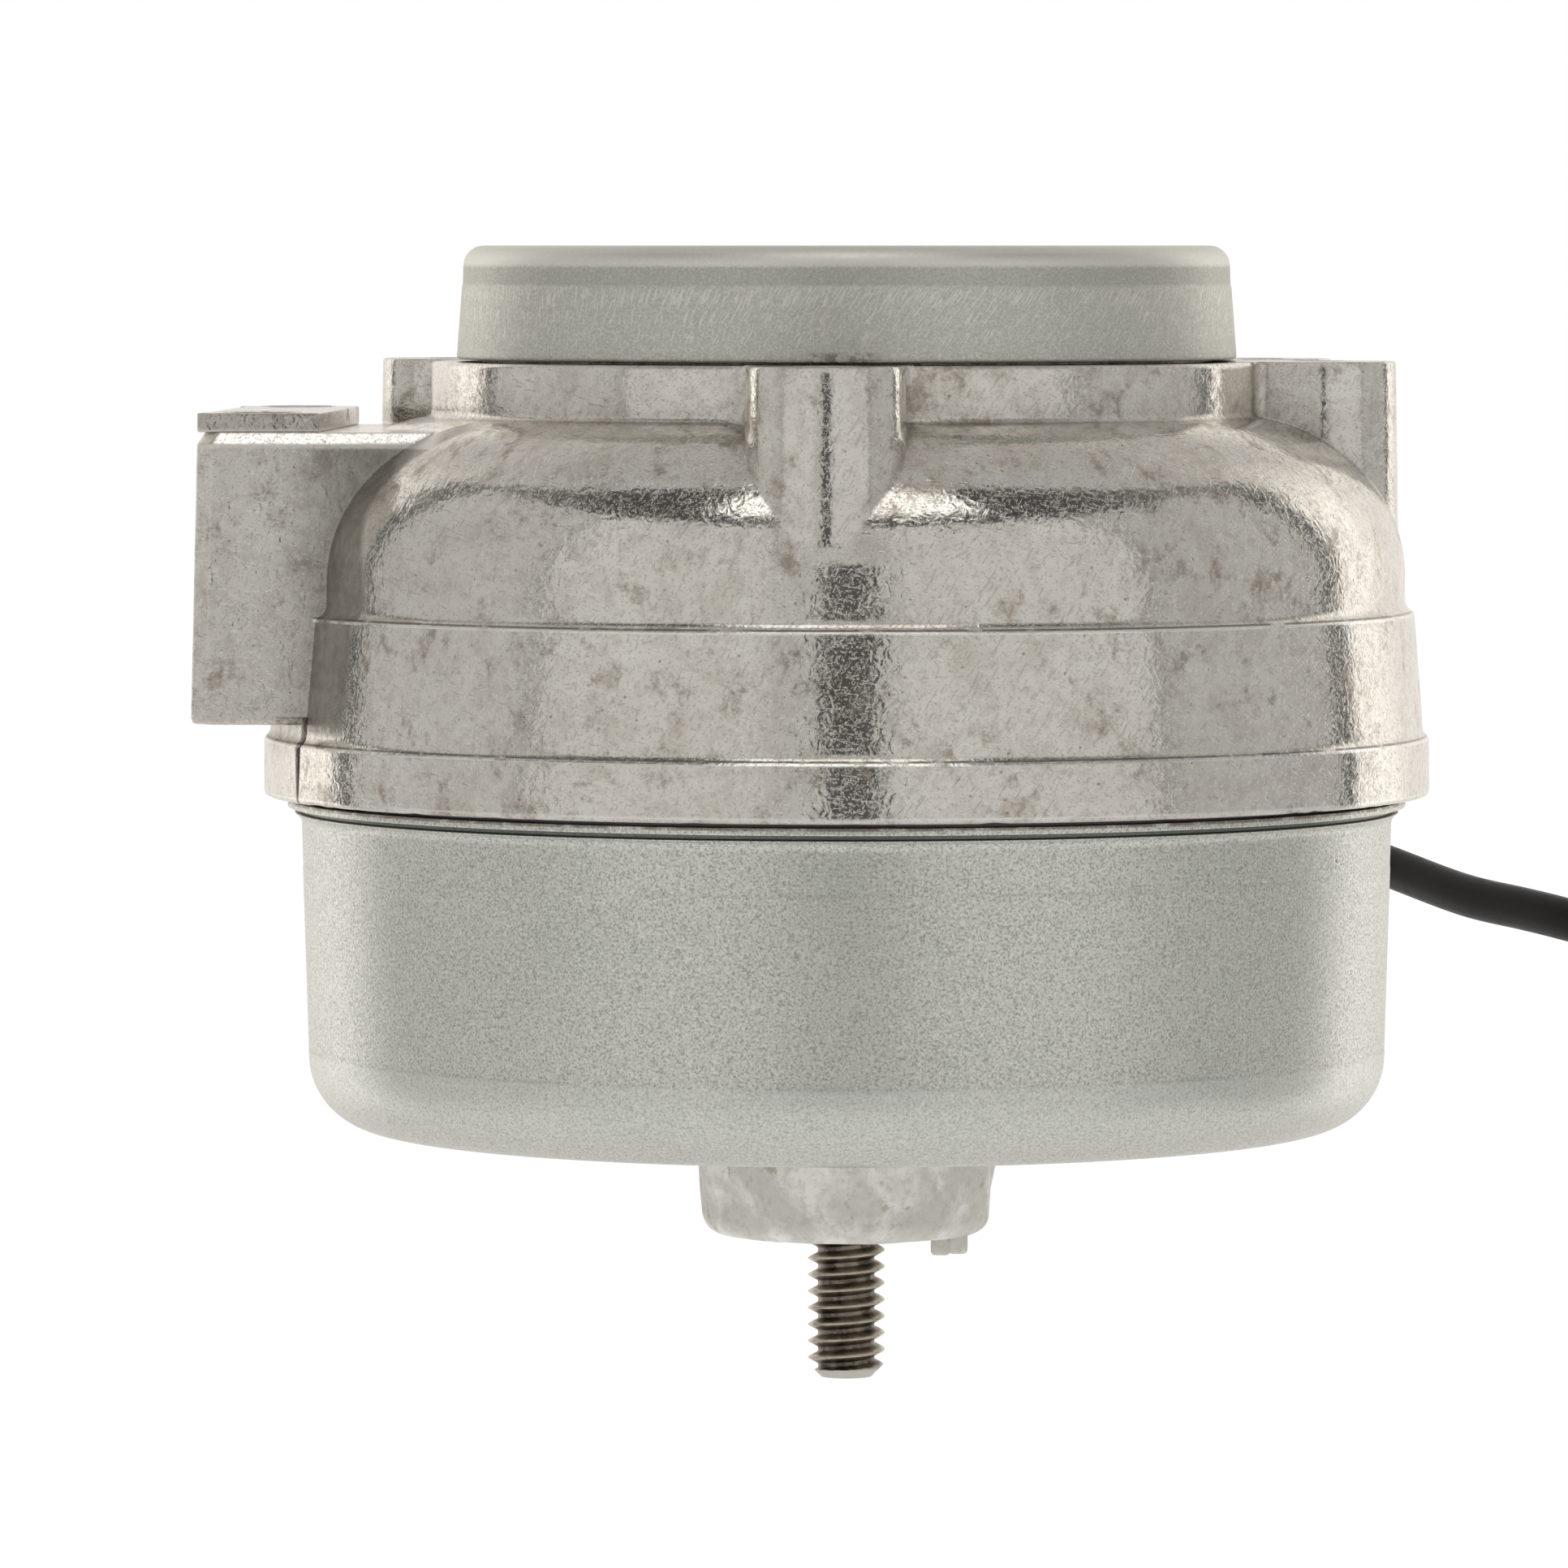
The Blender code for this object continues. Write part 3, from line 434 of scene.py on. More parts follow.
def wound_wire():
    """Layers of enamelled winding wire, a third of a millimetre thick."""
    p = Paint("wound_wire", 0.55)
    turns = p.math("FRACT", p.times(p.z, 3.0))
    round_top = p.math("SINE", p.times(turns, math.pi))
    # painted shade: each turn is painted light on its crest and dark between turns
    p.colour = p.mix(round_top, (0.16, 0.045, 0.015), (0.52, 0.20, 0.08))
    p.bump(round_top, 0.08)
    return p.done(0.33)


def wool_felt():
    p = Paint("wool_felt", 0.0)
    fibres = p.noise(4.0, 6.0, 0.75, distortion=0.6)
    oil = p.span(p.noise(0.15, 3.0), 0.4, 0.7)
    p.colour = p.mix(p.span(fibres, 0.3, 0.7), (0.42, 0.38, 0.28), (0.66, 0.61, 0.48))
    p.lay(p.times(oil, 0.5), (0.26, 0.21, 0.12))
    p.bump(fibres, 0.15)
    return p.done(0.9)


# ---------------------------------------------------------------- shapes

def linked(name, data):
    """A new object in the scene."""
    obj = bpy.data.objects.new(name, data)
    bpy.context.scene.collection.objects.link(obj)
    return obj


def as_mesh(shape, name):
    """The mesh of a finished bmesh, its faces turned outwards."""
    bmesh.ops.recalc_face_normals(shape, faces=shape.faces)
    mesh = bpy.data.meshes.new(name)
    shape.to_mesh(mesh)
    shape.free()
    return mesh


def join_rings(shape, upper, lower):
    """Quads between two rings of the same number of corners."""
    for k in range(len(upper)):
        shape.faces.new((upper[k - 1], lower[k - 1], lower[k], upper[k]))


def finish_mesh(name, mesh, material, stands_for, smooth, body="housing"):
    """Links a piece, shades it, parents it to its body and hides the frame's nodes it stands for."""
    mesh.shade_smooth()
    mesh.set_sharp_from_angle(angle=math.radians(smooth))
    mesh.materials.clear()
    mesh.materials.append(material)
    piece = linked(name, mesh)
    flat_faces = piece.modifiers.new("flat faces stay flat", "WEIGHTED_NORMAL")
    flat_faces.keep_sharp = True
    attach(piece, body)
    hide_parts(*stands_for)
    return piece


def rounded_path(corners, steps=4):
    """A polyline through (x, y, corner radius) points, its corners rounded by arcs."""
    count = len(corners)
    path = []
    for i, (x, y, radius) in enumerate(corners):
        here = Vector((x, y))
        if radius <= 0:
            path.append((x, y))
            continue
        before = Vector(corners[i - 1][:2]) - here
        after = Vector(corners[(i + 1) % count][:2]) - here
        turn = before.angle(after)
        cut = min(radius / math.tan(turn / 2), 0.48 * before.length, 0.48 * after.length)
        real = cut * math.tan(turn / 2)
        middle = here + (before.normalized() + after.normalized()).normalized() * real / math.sin(turn / 2)
        start = here + before.normalized() * cut - middle
        end = here + after.normalized() * cut - middle
        sweep = start.angle_signed(end)
        for k in range(steps + 1):
            spoke = start.copy()
            spoke.rotate(Matrix.Rotation(-sweep * k / steps, 2))
            path.append(tuple(middle + spoke))
    return path


def arc(centre, radius, start, end, steps):
    angles = [math.radians(start + (end - start) * i / steps) for i in range(steps + 1)]
    return [(centre[0] + radius * math.cos(a), centre[1] + radius * math.sin(a), 0) for a in angles]


def lathe(path, sides, closed=True, wobble=None):
    """Turns a (radius, height) path in millimetres about Z. A point on the axis becomes one vertex."""
    shape = bmesh.new()
    rings = []
    for radius, height in path:
        if radius < 1e-6:
            rings.append([shape.verts.new((0, 0, height * MM))])
            continue
        ring = []
        for k in range(sides):
            turn = 2 * math.pi * k / sides
            r, z = wobble(radius, height, turn) if wobble else (radius, height)
            ring.append(shape.verts.new((r * math.cos(turn) * MM, r * math.sin(turn) * MM, z * MM)))
        rings.append(ring)
    pairs = list(zip(rings, rings[1:]))
    if closed and len(rings[0]) > 1:
        pairs.append((rings[-1], rings[0]))
    for upper, lower in pairs:
        if len(upper) == len(lower) == 1:
            continue
        if len(upper) == 1:
            for k in range(sides):
                shape.faces.new((upper[0], lower[k - 1], lower[k]))
        elif len(lower) == 1:
            for k in range(sides):
                shape.faces.new((upper[k - 1], lower[0], upper[k]))
        else:
            join_rings(shape, upper, lower)
    return as_mesh(shape, "turned")


def box_mesh(low, high, edge=0.0, segments=3):
    """A box in millimetres with rounded edges."""
    shape = bmesh.new()
    bmesh.ops.create_cube(shape, size=1.0)
    size = Vector(high) - Vector(low)
    bmesh.ops.scale(shape, vec=size, verts=shape.verts)
    bmesh.ops.translate(shape, vec=(Vector(high) + Vector(low)) / 2, verts=shape.verts)
    if edge:
        bmesh.ops.bevel(shape, geom=shape.edges, offset=edge, segments=segments, profile=0.5,
                        affect="EDGES", clamp_overlap=True)
    bmesh.ops.scale(shape, vec=(MM, MM, MM), verts=shape.verts)
    return as_mesh(shape, "box")


def prism(outlines):
    """Stacks closed outlines, each a list of (x, y, z) in millimetres, from the top to the bottom."""
    shape = bmesh.new()
    rings = [[shape.verts.new(Vector(point) * MM) for point in outline] for outline in outlines]
    for upper, lower in zip(rings, rings[1:]):
        join_rings(shape, upper, lower)
    shape.faces.new(rings[0])
    shape.faces.new(reversed(rings[-1]))
    return as_mesh(shape, "prism")


def placed(mesh, matrix):
    """The mesh moved by a matrix whose offset is in millimetres."""
    move = matrix.copy()
    move.translation *= MM
    mesh.transform(move)
    return mesh


def join(mesh):
    return "UNION", mesh


def cut(mesh):
    return "DIFFERENCE", mesh


def carve(base, *steps):
    """Joins or cuts meshes one after another with exact Booleans, and gives the resulting mesh."""
    work = linked("carving", base)
    helpers = []
    for operation, mesh in steps:
        helper = linked("helper", mesh)
        helpers.append(helper)
        step = work.modifiers.new("step", "BOOLEAN")
        step.operation = operation
        step.object = helper
        step.solver = "EXACT"
    bpy.context.view_layer.update()
    graph = bpy.context.evaluated_depsgraph_get()
    result = bpy.data.meshes.new_from_object(work.evaluated_get(graph))
    for obj in [work, *helpers]:
        bpy.data.objects.remove(obj)
    return result


def around(angle, radius):
    """X and Y of a place at an angle from the front (-Y) towards +X, in degrees."""
    turn = math.radians(angle)
    return radius * math.sin(turn), -radius * math.cos(turn)


# ---------------------------------------------------------------- the frame's main sizes, in millimetres

def in_mm(vector):
    return Vector(vector) / MM


def extent(node):
    low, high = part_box(node)
    return in_mm(low), in_mm(high)


housing_low, housing_high = extent("cast_housing")
cap_low, cap_high = extent("rear_cap")
can_low, can_high = extent("front_can")
hub_low, hub_high = extent("fan_hub")
stud_low, stud_high = extent("threaded_stud")
cover_low, cover_high = extent("terminal_cover")
ring_low, ring_high = extent("lead_coil")
tie_low, tie_high = extent("lead_tie")
plug_low, plug_high = extent("connector_body")
floor_height = stud_low.z * MM

FLANGE_R = round(housing_high.y, 1)
CAP_R = cap_high.x
CAN_LIP_R = can_high.x
SIDES = 240

# Housing outline
COLLAR_R = 26.35
DOME_CENTRE = (25.1, -13.7)
DOME_R = 10.3
BAND_TOP = -15.9
BAND_TOP_R = 36.0
BAND_R = 36.55
SHOULDER_SWEEP = 1.35   # height of the hollow between the dome and the band
FLANGE_SWEEP = 1.05     # and between the band and the flange
FLANGE_TOP = -23.75
FLANGE_BOTTOM = -27.42
POST_R = 8.6
POST_BOTTOM = housing_low.z
BOSS_ANGLES = (0, 90, 120, 180, 240)
BOSS_CIRCLE = 29.95
BOSS_R = 4.85
BOSS_BOTTOM = -12.5

# Junction block
BLOCK_LOW = (-40.3, -15.6, -22.5)
BLOCK_HIGH = (-23.0, 14.4, -4.3)
BLOCK_DRAFT = 0.45
BLOCK_SPLAY = 0.35      # how much further forward its front face lies at the housing than at its corner
TERMINAL_POCKET = (-38.4, -9.0, -17.0), (-33.2, 8.0, -2.0)
WIRE_PASSAGE = (-34.5, -5.0, -15.0), (-28.0, 5.0, -9.0)
SCREW_PLACES = (-36.0, -12.1), (-36.0, 11.1)
STEM_R = 1.1            # of a cover screw
STEM_HOLE_R = 1.4

CAN_RAISED = 0.2        # how far the drawn lip sits above the CAD can's top
CAN_RINGS = -31.9, -43.6
GATE_REACH = 1.2        # how far the gate's stubs reach below the hub's face
WIRE_X = 102.7, 106.5   # the connector's two mouths


def make_housing(material):
    """The die casting: turned body, five bosses, junction block, then everything cut out of it."""
    start = math.degrees(math.acos((COLLAR_R - DOME_CENTRE[0]) / DOME_R))
    outline = [(23.2, 2.6, 0.2), (23.2, -0.04, 0), (COLLAR_R, -0.04, 0.28), (COLLAR_R, -3.52, 0.55)]
    outline += arc(DOME_CENTRE, DOME_R, start - 5, 1, 30)
    outline += hollow_sweep(DOME_CENTRE[0] + DOME_R, BAND_TOP_R - 0.05, BAND_TOP, SHOULDER_SWEEP)
    outline += [(BAND_TOP_R + 0.02, BAND_TOP - 0.11, 0)]
    outline += hollow_sweep(BAND_R, FLANGE_R - 0.13, FLANGE_TOP, FLANGE_SWEEP)
    outline += [(FLANGE_R - 0.03, FLANGE_TOP - 0.16, 0.03)]
    outline += [(FLANGE_R, FLANGE_BOTTOM, 0.3), (POST_R - 0.1, FLANGE_BOTTOM, 0)]
    outline += [(POST_R - 0.1, POST_BOTTOM, 0.3), (5.3, POST_BOTTOM, 0), (5.3, 1.0, 0), (POST_R, 1.0, 0.3)]
    outline += [(POST_R, -3.4, 0), (21.2, -3.4, 0.5), (21.2, 2.6, 0.2)]

    def cast_skin(radius, height, turn):
        """Slight waves of the die, and nicks along the flange's lower edge."""
        where = Vector((math.cos(turn) * radius, math.sin(turn) * radius, height))
        if radius < 30:
            return radius, height
        wave = 0.035 * noise.noise(where * 0.12)
        if height < FLANGE_BOTTOM + 0.35 and radius > 36:
            nick = max(0.0, noise.noise(where * 0.9) - 0.28)
            return radius + wave - 0.35 * nick, height + 0.2 * nick
        return radius + wave, height

    body = lathe(rounded_path(outline), SIDES, wobble=cast_skin)
    steps = [join(boss(angle)) for angle in BOSS_ANGLES]
    steps.append(join(junction_block()))

    cavity = [(POST_R, -6.7, 0), (25.1, -6.7, 0)] + arc(DOME_CENTRE, 7.0, 78, 16, 8)
    cavity += [(31.8, -14.4, 0), (31.8, -19.2, 0), (33.7, -19.2, 0), (33.7, FLANGE_BOTTOM - 1, 0)]
    cavity += [(POST_R, FLANGE_BOTTOM - 1, 0)]
    steps.append(cut(lathe(rounded_path(cavity), 120)))
    steps.append(cut(box_mesh(*TERMINAL_POCKET)))
    steps.append(cut(box_mesh(*WIRE_PASSAGE)))
    for angle in BOSS_ANGLES:
        x, y = around(angle, BOSS_CIRCLE)
        steps.append(cut(tapped_hole(x, y)))
    for x, y in SCREW_PLACES:
        hole = lathe([(0, 0), (STEM_HOLE_R, 0), (STEM_HOLE_R, -11.3), (0, -11.3)], 24)
        steps.append(cut(placed(hole, Matrix.Translation((x, y, 0)))))
    lead_hole = lathe([(0, 40), (2.7, 40), (2.7, 29), (0, 29)], 40)
    steps.append(cut(placed(lead_hole, outward_frame())))
    steps.append(cut(parting_nick()))
    mesh = carve(body, *steps)
    return finish_mesh("housing_casting", mesh, material, ["cast_housing"], 28)


def hollow_sweep(start_r, end_r, height, rise):
    """A wall curving out, slowly and then sharply, to a ledge at a height."""
    steps = 12
    return [(start_r + (end_r - start_r) * (k / steps) ** 4, height + rise * (1 - k / steps), 0)
            for k in range(1, steps + 1)]


def boss(angle):
    """A mounting boss: round end, flanks closing in slightly to their fillets, and a little draft.

    One fillet of the front boss widens downwards.
    """
    inner = COLLAR_R * 0.86
    levels = ((0.0, -0.16, 0.9), (-0.05, -0.05, 0.9), (-0.17, 0.0, 0.95), (-1.2, 0.02, 1.2),
              (-2.1, 0.03, 1.8), (-2.9, 0.05, 2.7), (-3.6, 0.06, 3.5), (BOSS_BOTTOM, 0.2, 3.5))
    outlines = []
    for height, grow, widened in levels:
        r = BOSS_R + grow
        left = boss_flank(r, widened if angle == 0 else 0.9)
        right = boss_flank(r, 0.9)
        end = [(BOSS_CIRCLE + r * math.cos(a), r * math.sin(a))
               for a in (math.radians(-90 + 180 * k / 40) for k in range(41))]
        plan = [(inner, left[0][1] * 0.86), *left, *end]
        plan += [(x, -y) for x, y in reversed(right)] + [(inner, -right[0][1] * 0.86)]
        outlines.append([(x, y, height) for x, y in plan])
    return placed(prism(outlines), Matrix.Rotation(math.radians(angle - 90), 4, "Z"))


def boss_flank(r, fillet):
    """The plan of one flank's fillet, from the collar to the boss."""
    waist = 0.28
    root = r - waist + fillet
    foot = math.sqrt((COLLAR_R + fillet) ** 2 - root ** 2)
    first = math.atan2(-root, foot) + math.pi
    turns = [first + (math.pi / 2 - first) * k / 8 for k in range(9)]
    return [(foot + fillet * math.cos(turn), -root + fillet * math.sin(turn)) for turn in turns]


def tapped_hole(x, y):
    """A tapped hole with a countersunk mouth and the grooves of its thread."""
    pitch = 0.794
    path = [(0, 0.5), (2.15, 0.5), (2.15, 0.0), (1.75, -0.4)]
    depth = -0.5
    while depth > -8.0:
        path += [(1.75, depth), (2.02, depth - pitch / 2)]
        depth -= pitch
    path += [(1.75, -8.6), (0, -9.0)]
    return placed(lathe(path, 32), Matrix.Translation((x, y, 0)))


def junction_block():
    """The block on the housing's side: chamfered corners, steeper chamfers round the top, slight draft."""
    low, high = Vector(BLOCK_LOW), Vector(BLOCK_HIGH)
    levels = ((high.z, 0.50), (high.z - 0.04, 0.45), (high.z - 0.72, 0.03), (high.z - 0.82, 0.0),
              (low.z + 0.35, 0.0), (low.z + 0.08, 0.10), (low.z, 0.28))
    outlines = []
    for height, inset in levels:
        draft = BLOCK_DRAFT * (height - low.z) / (high.z - low.z)
        x0, y0, y1 = low.x + draft + inset, low.y + inset, high.y - inset
        corners = ((high.x, y0 - BLOCK_SPLAY, 0), (x0 + 0.95, y0, 0.35), (x0, y0 + 0.95, 0.35),
                   (x0, y1 - 0.95, 0.35), (x0 + 0.95, y1, 0.35), (high.x, y1, 0))
        outlines.append([(x, y, height) for x, y in rounded_path(corners)])
    return prism(outlines)


def parting_nick():
    """The thin groove down the flange below the junction block's front corner."""
    half = 0.55
    rings = []
    for height, width in ((-22.0, half), (-25.5, half * 0.6), (-27.9, 0.06)):
        plan = ((-35.6, -width), (-33.0, 0.0), (-35.6, width), (-38.5, width), (-38.5, -width))
        rings.append([(x - 1.05 + 0.6 * (half - width), y, height) for x, y in plan])
    return placed(prism(rings), Matrix.Rotation(math.radians(25.0), 4, "Z"))


GROMMET_ANGLE = 165
GROMMET_Z = -16.2


def outward_frame():
    """From a piece turned about Z to the lead's way out of the housing."""
    x, y = around(GROMMET_ANGLE, 1)
    turn = Vector((0, 0, 1)).rotation_difference(Vector((x, y, 0)))
    return Matrix.Translation((0, 0, GROMMET_Z)) @ turn.to_matrix().to_4x4()


def make_cap(material):
    """The rear cap: rounded top edge and a wall that widens slightly to its rim."""
    top, rim = cap_high.z, cap_low.z - 0.18
    shell = 1.0
    outline = [(0, top), (8, top), (16, top - 0.01)]
    corner = arc((CAP_R - 0.30 - 1.3, top - 1.3), 1.3, 90, 2, 12)
    wall = [(CAP_R - 0.29, top - 1.5, 0), (CAP_R - 0.27, top - 2.4, 0.6), (CAP_R - 0.20, top - 2.7, 0.6)]
    wall += [(CAP_R + 0.10, rim + 0.5, 0.4), (CAP_R + 0.14, rim, 0.25)]
    inside = [(CAP_R - shell, rim, 0.25), (CAP_R - shell - 0.2, top - 2.0, 0.3)]
    inside += [(CAP_R - shell - 0.9, top - shell, 0.3)]
    path = outline + rounded_path(corner + wall + inside) + [(0, top - shell)]

    def drawn(radius, height, turn):
        where = Vector((math.cos(turn), math.sin(turn), height * 0.08)) * 2.5
        return (radius + 0.02 * noise.noise(where) if radius > 20 else radius), height

    mesh = lathe(path, SIDES, closed=False, wobble=drawn)
    return finish_mesh("rear_cap_shell", mesh, material, ["rear_cap"], 40)


def make_can(material):
    """The front can: thin out-turned lip with a groove under it, flare, faint draw lines, round bottom."""
    top, bottom = can_high.z + CAN_RAISED, can_low.z
    sheet = 0.65
    wall_top, wall_low, corner_r = 34.6, 34.2, 4.7
    hole = 10.6
    centre = (wall_low - corner_r, bottom + corner_r)
    outline = [(CAN_LIP_R, top, 0.10), (CAN_LIP_R, top - 0.48, 0.10), (wall_top + 0.10, top - 0.51, 0.04)]
    outline += [(wall_top + 0.10, top - 0.74, 0.04), (wall_top + 0.52, top - 0.84, 0.08)]
    outline += arc((wall_top + 0.80, top - 1.60), 0.80, 125, 180, 8)
    depth = 0.012
    for height in CAN_RINGS:
        share = (height - top + 2) / (bottom + corner_r - top + 2)
        radius = wall_top + (wall_low - wall_top) * share
        outline += [(radius, height + 0.35, 0), (radius - depth, height, 0),
                    (radius + depth / 2, height - 0.3, 0)]
    outline += arc(centre, corner_r, 0, -90, 20)
    outline += [(hole + 6, bottom, 0), (hole, bottom, 0.2), (hole, bottom + sheet, 0.2)]
    outline += arc(centre, corner_r - sheet, -90, 0, 8)
    outline += [(wall_top - sheet, top - 1.6, 0.3), (wall_top - 0.2, top, 0.1)]

    def drawn(radius, height, turn):
        where = Vector((math.cos(turn), math.sin(turn), height * 0.03)) * 1.8
        return (radius + 0.03 * noise.noise(where) if radius > 25 else radius), height

    mesh = lathe(rounded_path(outline), SIDES, wobble=drawn)
    return finish_mesh("front_can_shell", mesh, material, ["front_can"], 40)


def make_hub(material):
    """The hub casting with its lumpy skin and the double stub left by the gate."""
    bottom, top = hub_low.z + GATE_REACH, hub_high.z
    web_top = top - 3.1
    outline = [(6.2, top, 0.2), (6.2, web_top, 0.3), (17.6, web_top, 0.3), (17.6, web_top - 2.3, 0.5)]
    outline += [(9.9, web_top - 3.6, 0.5), (9.80, can_low.z, 0), (9.70, can_low.z - 1.0, 0)]
    outline += [(9.48, can_low.z - 2.4, 0), (9.27, can_low.z - 4.0, 0)]
    outline += arc((9.12 - 1.3, bottom + 1.3), 1.3, 0, -90, 10)
    outline += [(6.0, bottom, 0), (4.0, bottom, 0), (2.45, bottom + 0.02, 0.15), (2.45, -47.0, 0)]
    outline += [(3.3, -47.0, 0), (3.3, top, 0.2)]

    def lumpy(radius, height, turn):
        if height > can_low.z or radius < 3:
            return radius, height
        where = Vector((math.cos(turn) * radius, math.sin(turn) * radius, height))
        lump = 0.13 * noise.noise(where * 0.35) + 0.05 * noise.noise(where * 1.1)
        return radius + lump, height + (0.5 * lump if height < bottom + 1.4 else 0)

    body = lathe(rounded_path(outline), 128, wobble=lumpy)
    stubs = []
    half = 0.62
    for x, reach in ((6.12, 1.14), (7.20, 1.05)):
        stub = box_mesh((x - half, -3.5, bottom - reach), (x + half, -2.3, bottom + 0.6), 0.28, 4)
        stubs.append(join(stub))
    web = box_mesh((5.55, -3.4, bottom - 0.88), (7.75, -2.35, bottom + 0.6), 0.25, 3)
    stubs.append(join(web))
    mesh = carve(body, *stubs)
    return finish_mesh("fan_hub_casting", mesh, material, ["fan_hub"], 50, "rotor")


def make_stud(material):
    """The right-hand No. 10-24 thread as one continuous screw surface, chamfered at its end."""
    pitch = 25.4 / 24
    crest, root = 2.45, 1.80
    top, end = stud_high.z, stud_low.z
    thread_top = hub_low.z + GATE_REACH + 1.0
    sides, steps = 72, 22
    heights = [top]
    count = round((thread_top - end) / pitch * steps)
    heights += [thread_top - (thread_top - end) * k / count for k in range(count + 1)]

    def screw(radius, height, turn):
        if radius < 1.0 or height > thread_top - 0.01:
            return min(radius, crest), height
        phase = (height / pitch - turn / (2 * math.pi)) % 1.0
        flank = min(max((abs(phase - 0.5) * 2 - 0.05) / 0.72, 0.0), 1.0)
        r = crest - (crest - root) * (flank - 0.04 * math.sin(2 * math.pi * flank))
        limit = 1.62 + max(0.0, height - end) * 1.0
        return min(r, limit), height

    path = [(0, top)] + [(crest, h) for h in heights] + [(0, end)]
    mesh = lathe(path, sides, closed=False, wobble=screw)
    return finish_mesh("stud_thread", mesh, material, ["threaded_stud"], 60, "rotor")


def make_cover(plate_material, screw_material):
    """The junction block's cover plate and its two slotted screws."""
    plate = box_mesh((cover_low.x, cover_low.y, BLOCK_HIGH[2]), cover_high, 0.12, 2)
    cuts = []
    for x, y in SCREW_PLACES:
        seat = lathe([(0, 0), (2.5, 0), (2.5, -3.65), (STEM_HOLE_R, -3.65), (STEM_HOLE_R, -6), (0, -6)], 48)
        cuts.append(cut(placed(seat, Matrix.Translation((x, y, 0)))))
    cuts.append(cut(box_mesh((-39.9, -12.4, -3.45), (-39.35, 11.4, -2.9))))
    mesh = carve(plate, *cuts)
    finish_mesh("terminal_cover_plate", mesh, plate_material, ["terminal_cover"], 35)
    for number, (x, y) in enumerate(SCREW_PLACES, 1):
        path = rounded_path([(0.001, -3.05, 0), (2.2, -3.05, 0.12), (2.2, -3.35, 0), (STEM_R, -3.35, 0),
                             (STEM_R, -10.6, 0), (0.6, -11.0, 0), (0.001, -11.0, 0)])
        head = lathe(path, 40)
        slot = box_mesh((-2.4, -0.28, -3.25), (2.4, 0.28, -2.8))
        placed(slot, Matrix.Rotation(math.radians(35 + 70 * number), 4, "Z"))
        screw = placed(carve(head, cut(slot)), Matrix.Translation((x, y, 0)))
        finish_mesh(f"cover_screw_head_{number}", screw, screw_material,
                    [f"cover_screw_{number}"], 35)


# ---------------------------------------------------------------- the lead

LEAD_DIAMETER = 2.8 * MM
LEAD_ROUTE = (
    (10.8, 40.3, -16.2), (11.9, 44.0, -17.2), (14.6, 47.0, -20.6), (18.9, 47.6, -25.4),
    (23.9, 45.3, -29.4), (28.9, 41.6, -32.1), (32.4, 38.4, -33.4), (35.1, 35.5, -34.3),
    (39.8, 28.5, -35.66), (43.6, 23.4, -36.24), (46.2, 20.0, -36.68), (48.6, 17.4, -37.28),
    (52.6, 13.6, -39.2), (58.8, 8.6, -44.4), (64.0, 4.6, -51.2), (69.6, -1.6, -60.6), (70.7, -5.6, -62.5),
)
TAIL_ROUTE = (105.2, -5.0, -56.9), (105.1, 5.5, -58.2), (104.8, 11.0, -60.2), (104.6, 17.0, -61.4)
COIL_TURNS = 4.5
STRAND = 2.9        # distance between the strands of the coil


def smooth_route(points, spacing):
    """Evenly spaced points on a Catmull-Rom curve through the route's own points."""
    ends = [2 * Vector(points[0]) - Vector(points[1]), *map(Vector, points)]
    ends.append(2 * Vector(points[-1]) - Vector(points[-2]))
    fine = []
    steps = 24
    for a, b, c, d in zip(ends, ends[1:], ends[2:], ends[3:]):
        for i in range(steps):
            t = i / steps
            fine.append(0.5 * (2 * b + (c - a) * t + (2 * a - 5 * b + 4 * c - d) * t * t
                               + (3 * b - a - 3 * c + d) * t ** 3))
    fine.append(Vector(points[-1]))
    total = sum((q - p).length for p, q in zip(fine, fine[1:]))
    count = round(total / spacing)
    picked, run = [fine[0]], 0.0
    for p, q in zip(fine, fine[1:]):
        run += (q - p).length
        if run >= total / count * len(picked) and len(picked) < count:
            picked.append(q)
    return [*picked, fine[-1]]


def coil_points():
    """The coil's turns: outer and inner strand of each layer, climbing one strand at a time."""
    centre = (ring_low + ring_high) / 2
    outer = (ring_high.x - ring_low.x) / 2 - 1.5
    low = ring_low.z + 1.45
    changes = ((300, "in"), (600, "up"), (900, "out"), (1200, "up"))
    points = []
    for degree in range(0, round(360 * COIL_TURNS) + 1, 12):
        radius, height = outer, low
        for start, way in changes:
            done = min(max((degree - start) / 60, 0.0), 1.0)
            share = done * done * (3 - 2 * done)
            if way == "up":
                height += STRAND * share
            else:
                radius += STRAND * share * (1 if way == "out" else -1)
        turn = math.radians(180 + degree)
        points.append(Vector((centre.x + radius * math.cos(turn),
                              centre.y + radius * math.sin(turn), height)))
    return points


def lead_path():
    """The whole lead in millimetres: through the grommet, out, down, round the coil and to its connector."""
    x, y = around(GROMMET_ANGLE, 1)
    coil = coil_points()
    way_in = smooth_route([*LEAD_ROUTE, coil[0]], 1.25)
    way_out = smooth_route([coil[-1], *TAIL_ROUTE], 2.5)
    inside = [Vector((x * r, y * r, GROMMET_Z)) for r in (35.0, 37.5)]
    return inside + way_in + coil[1:] + way_out[1:]


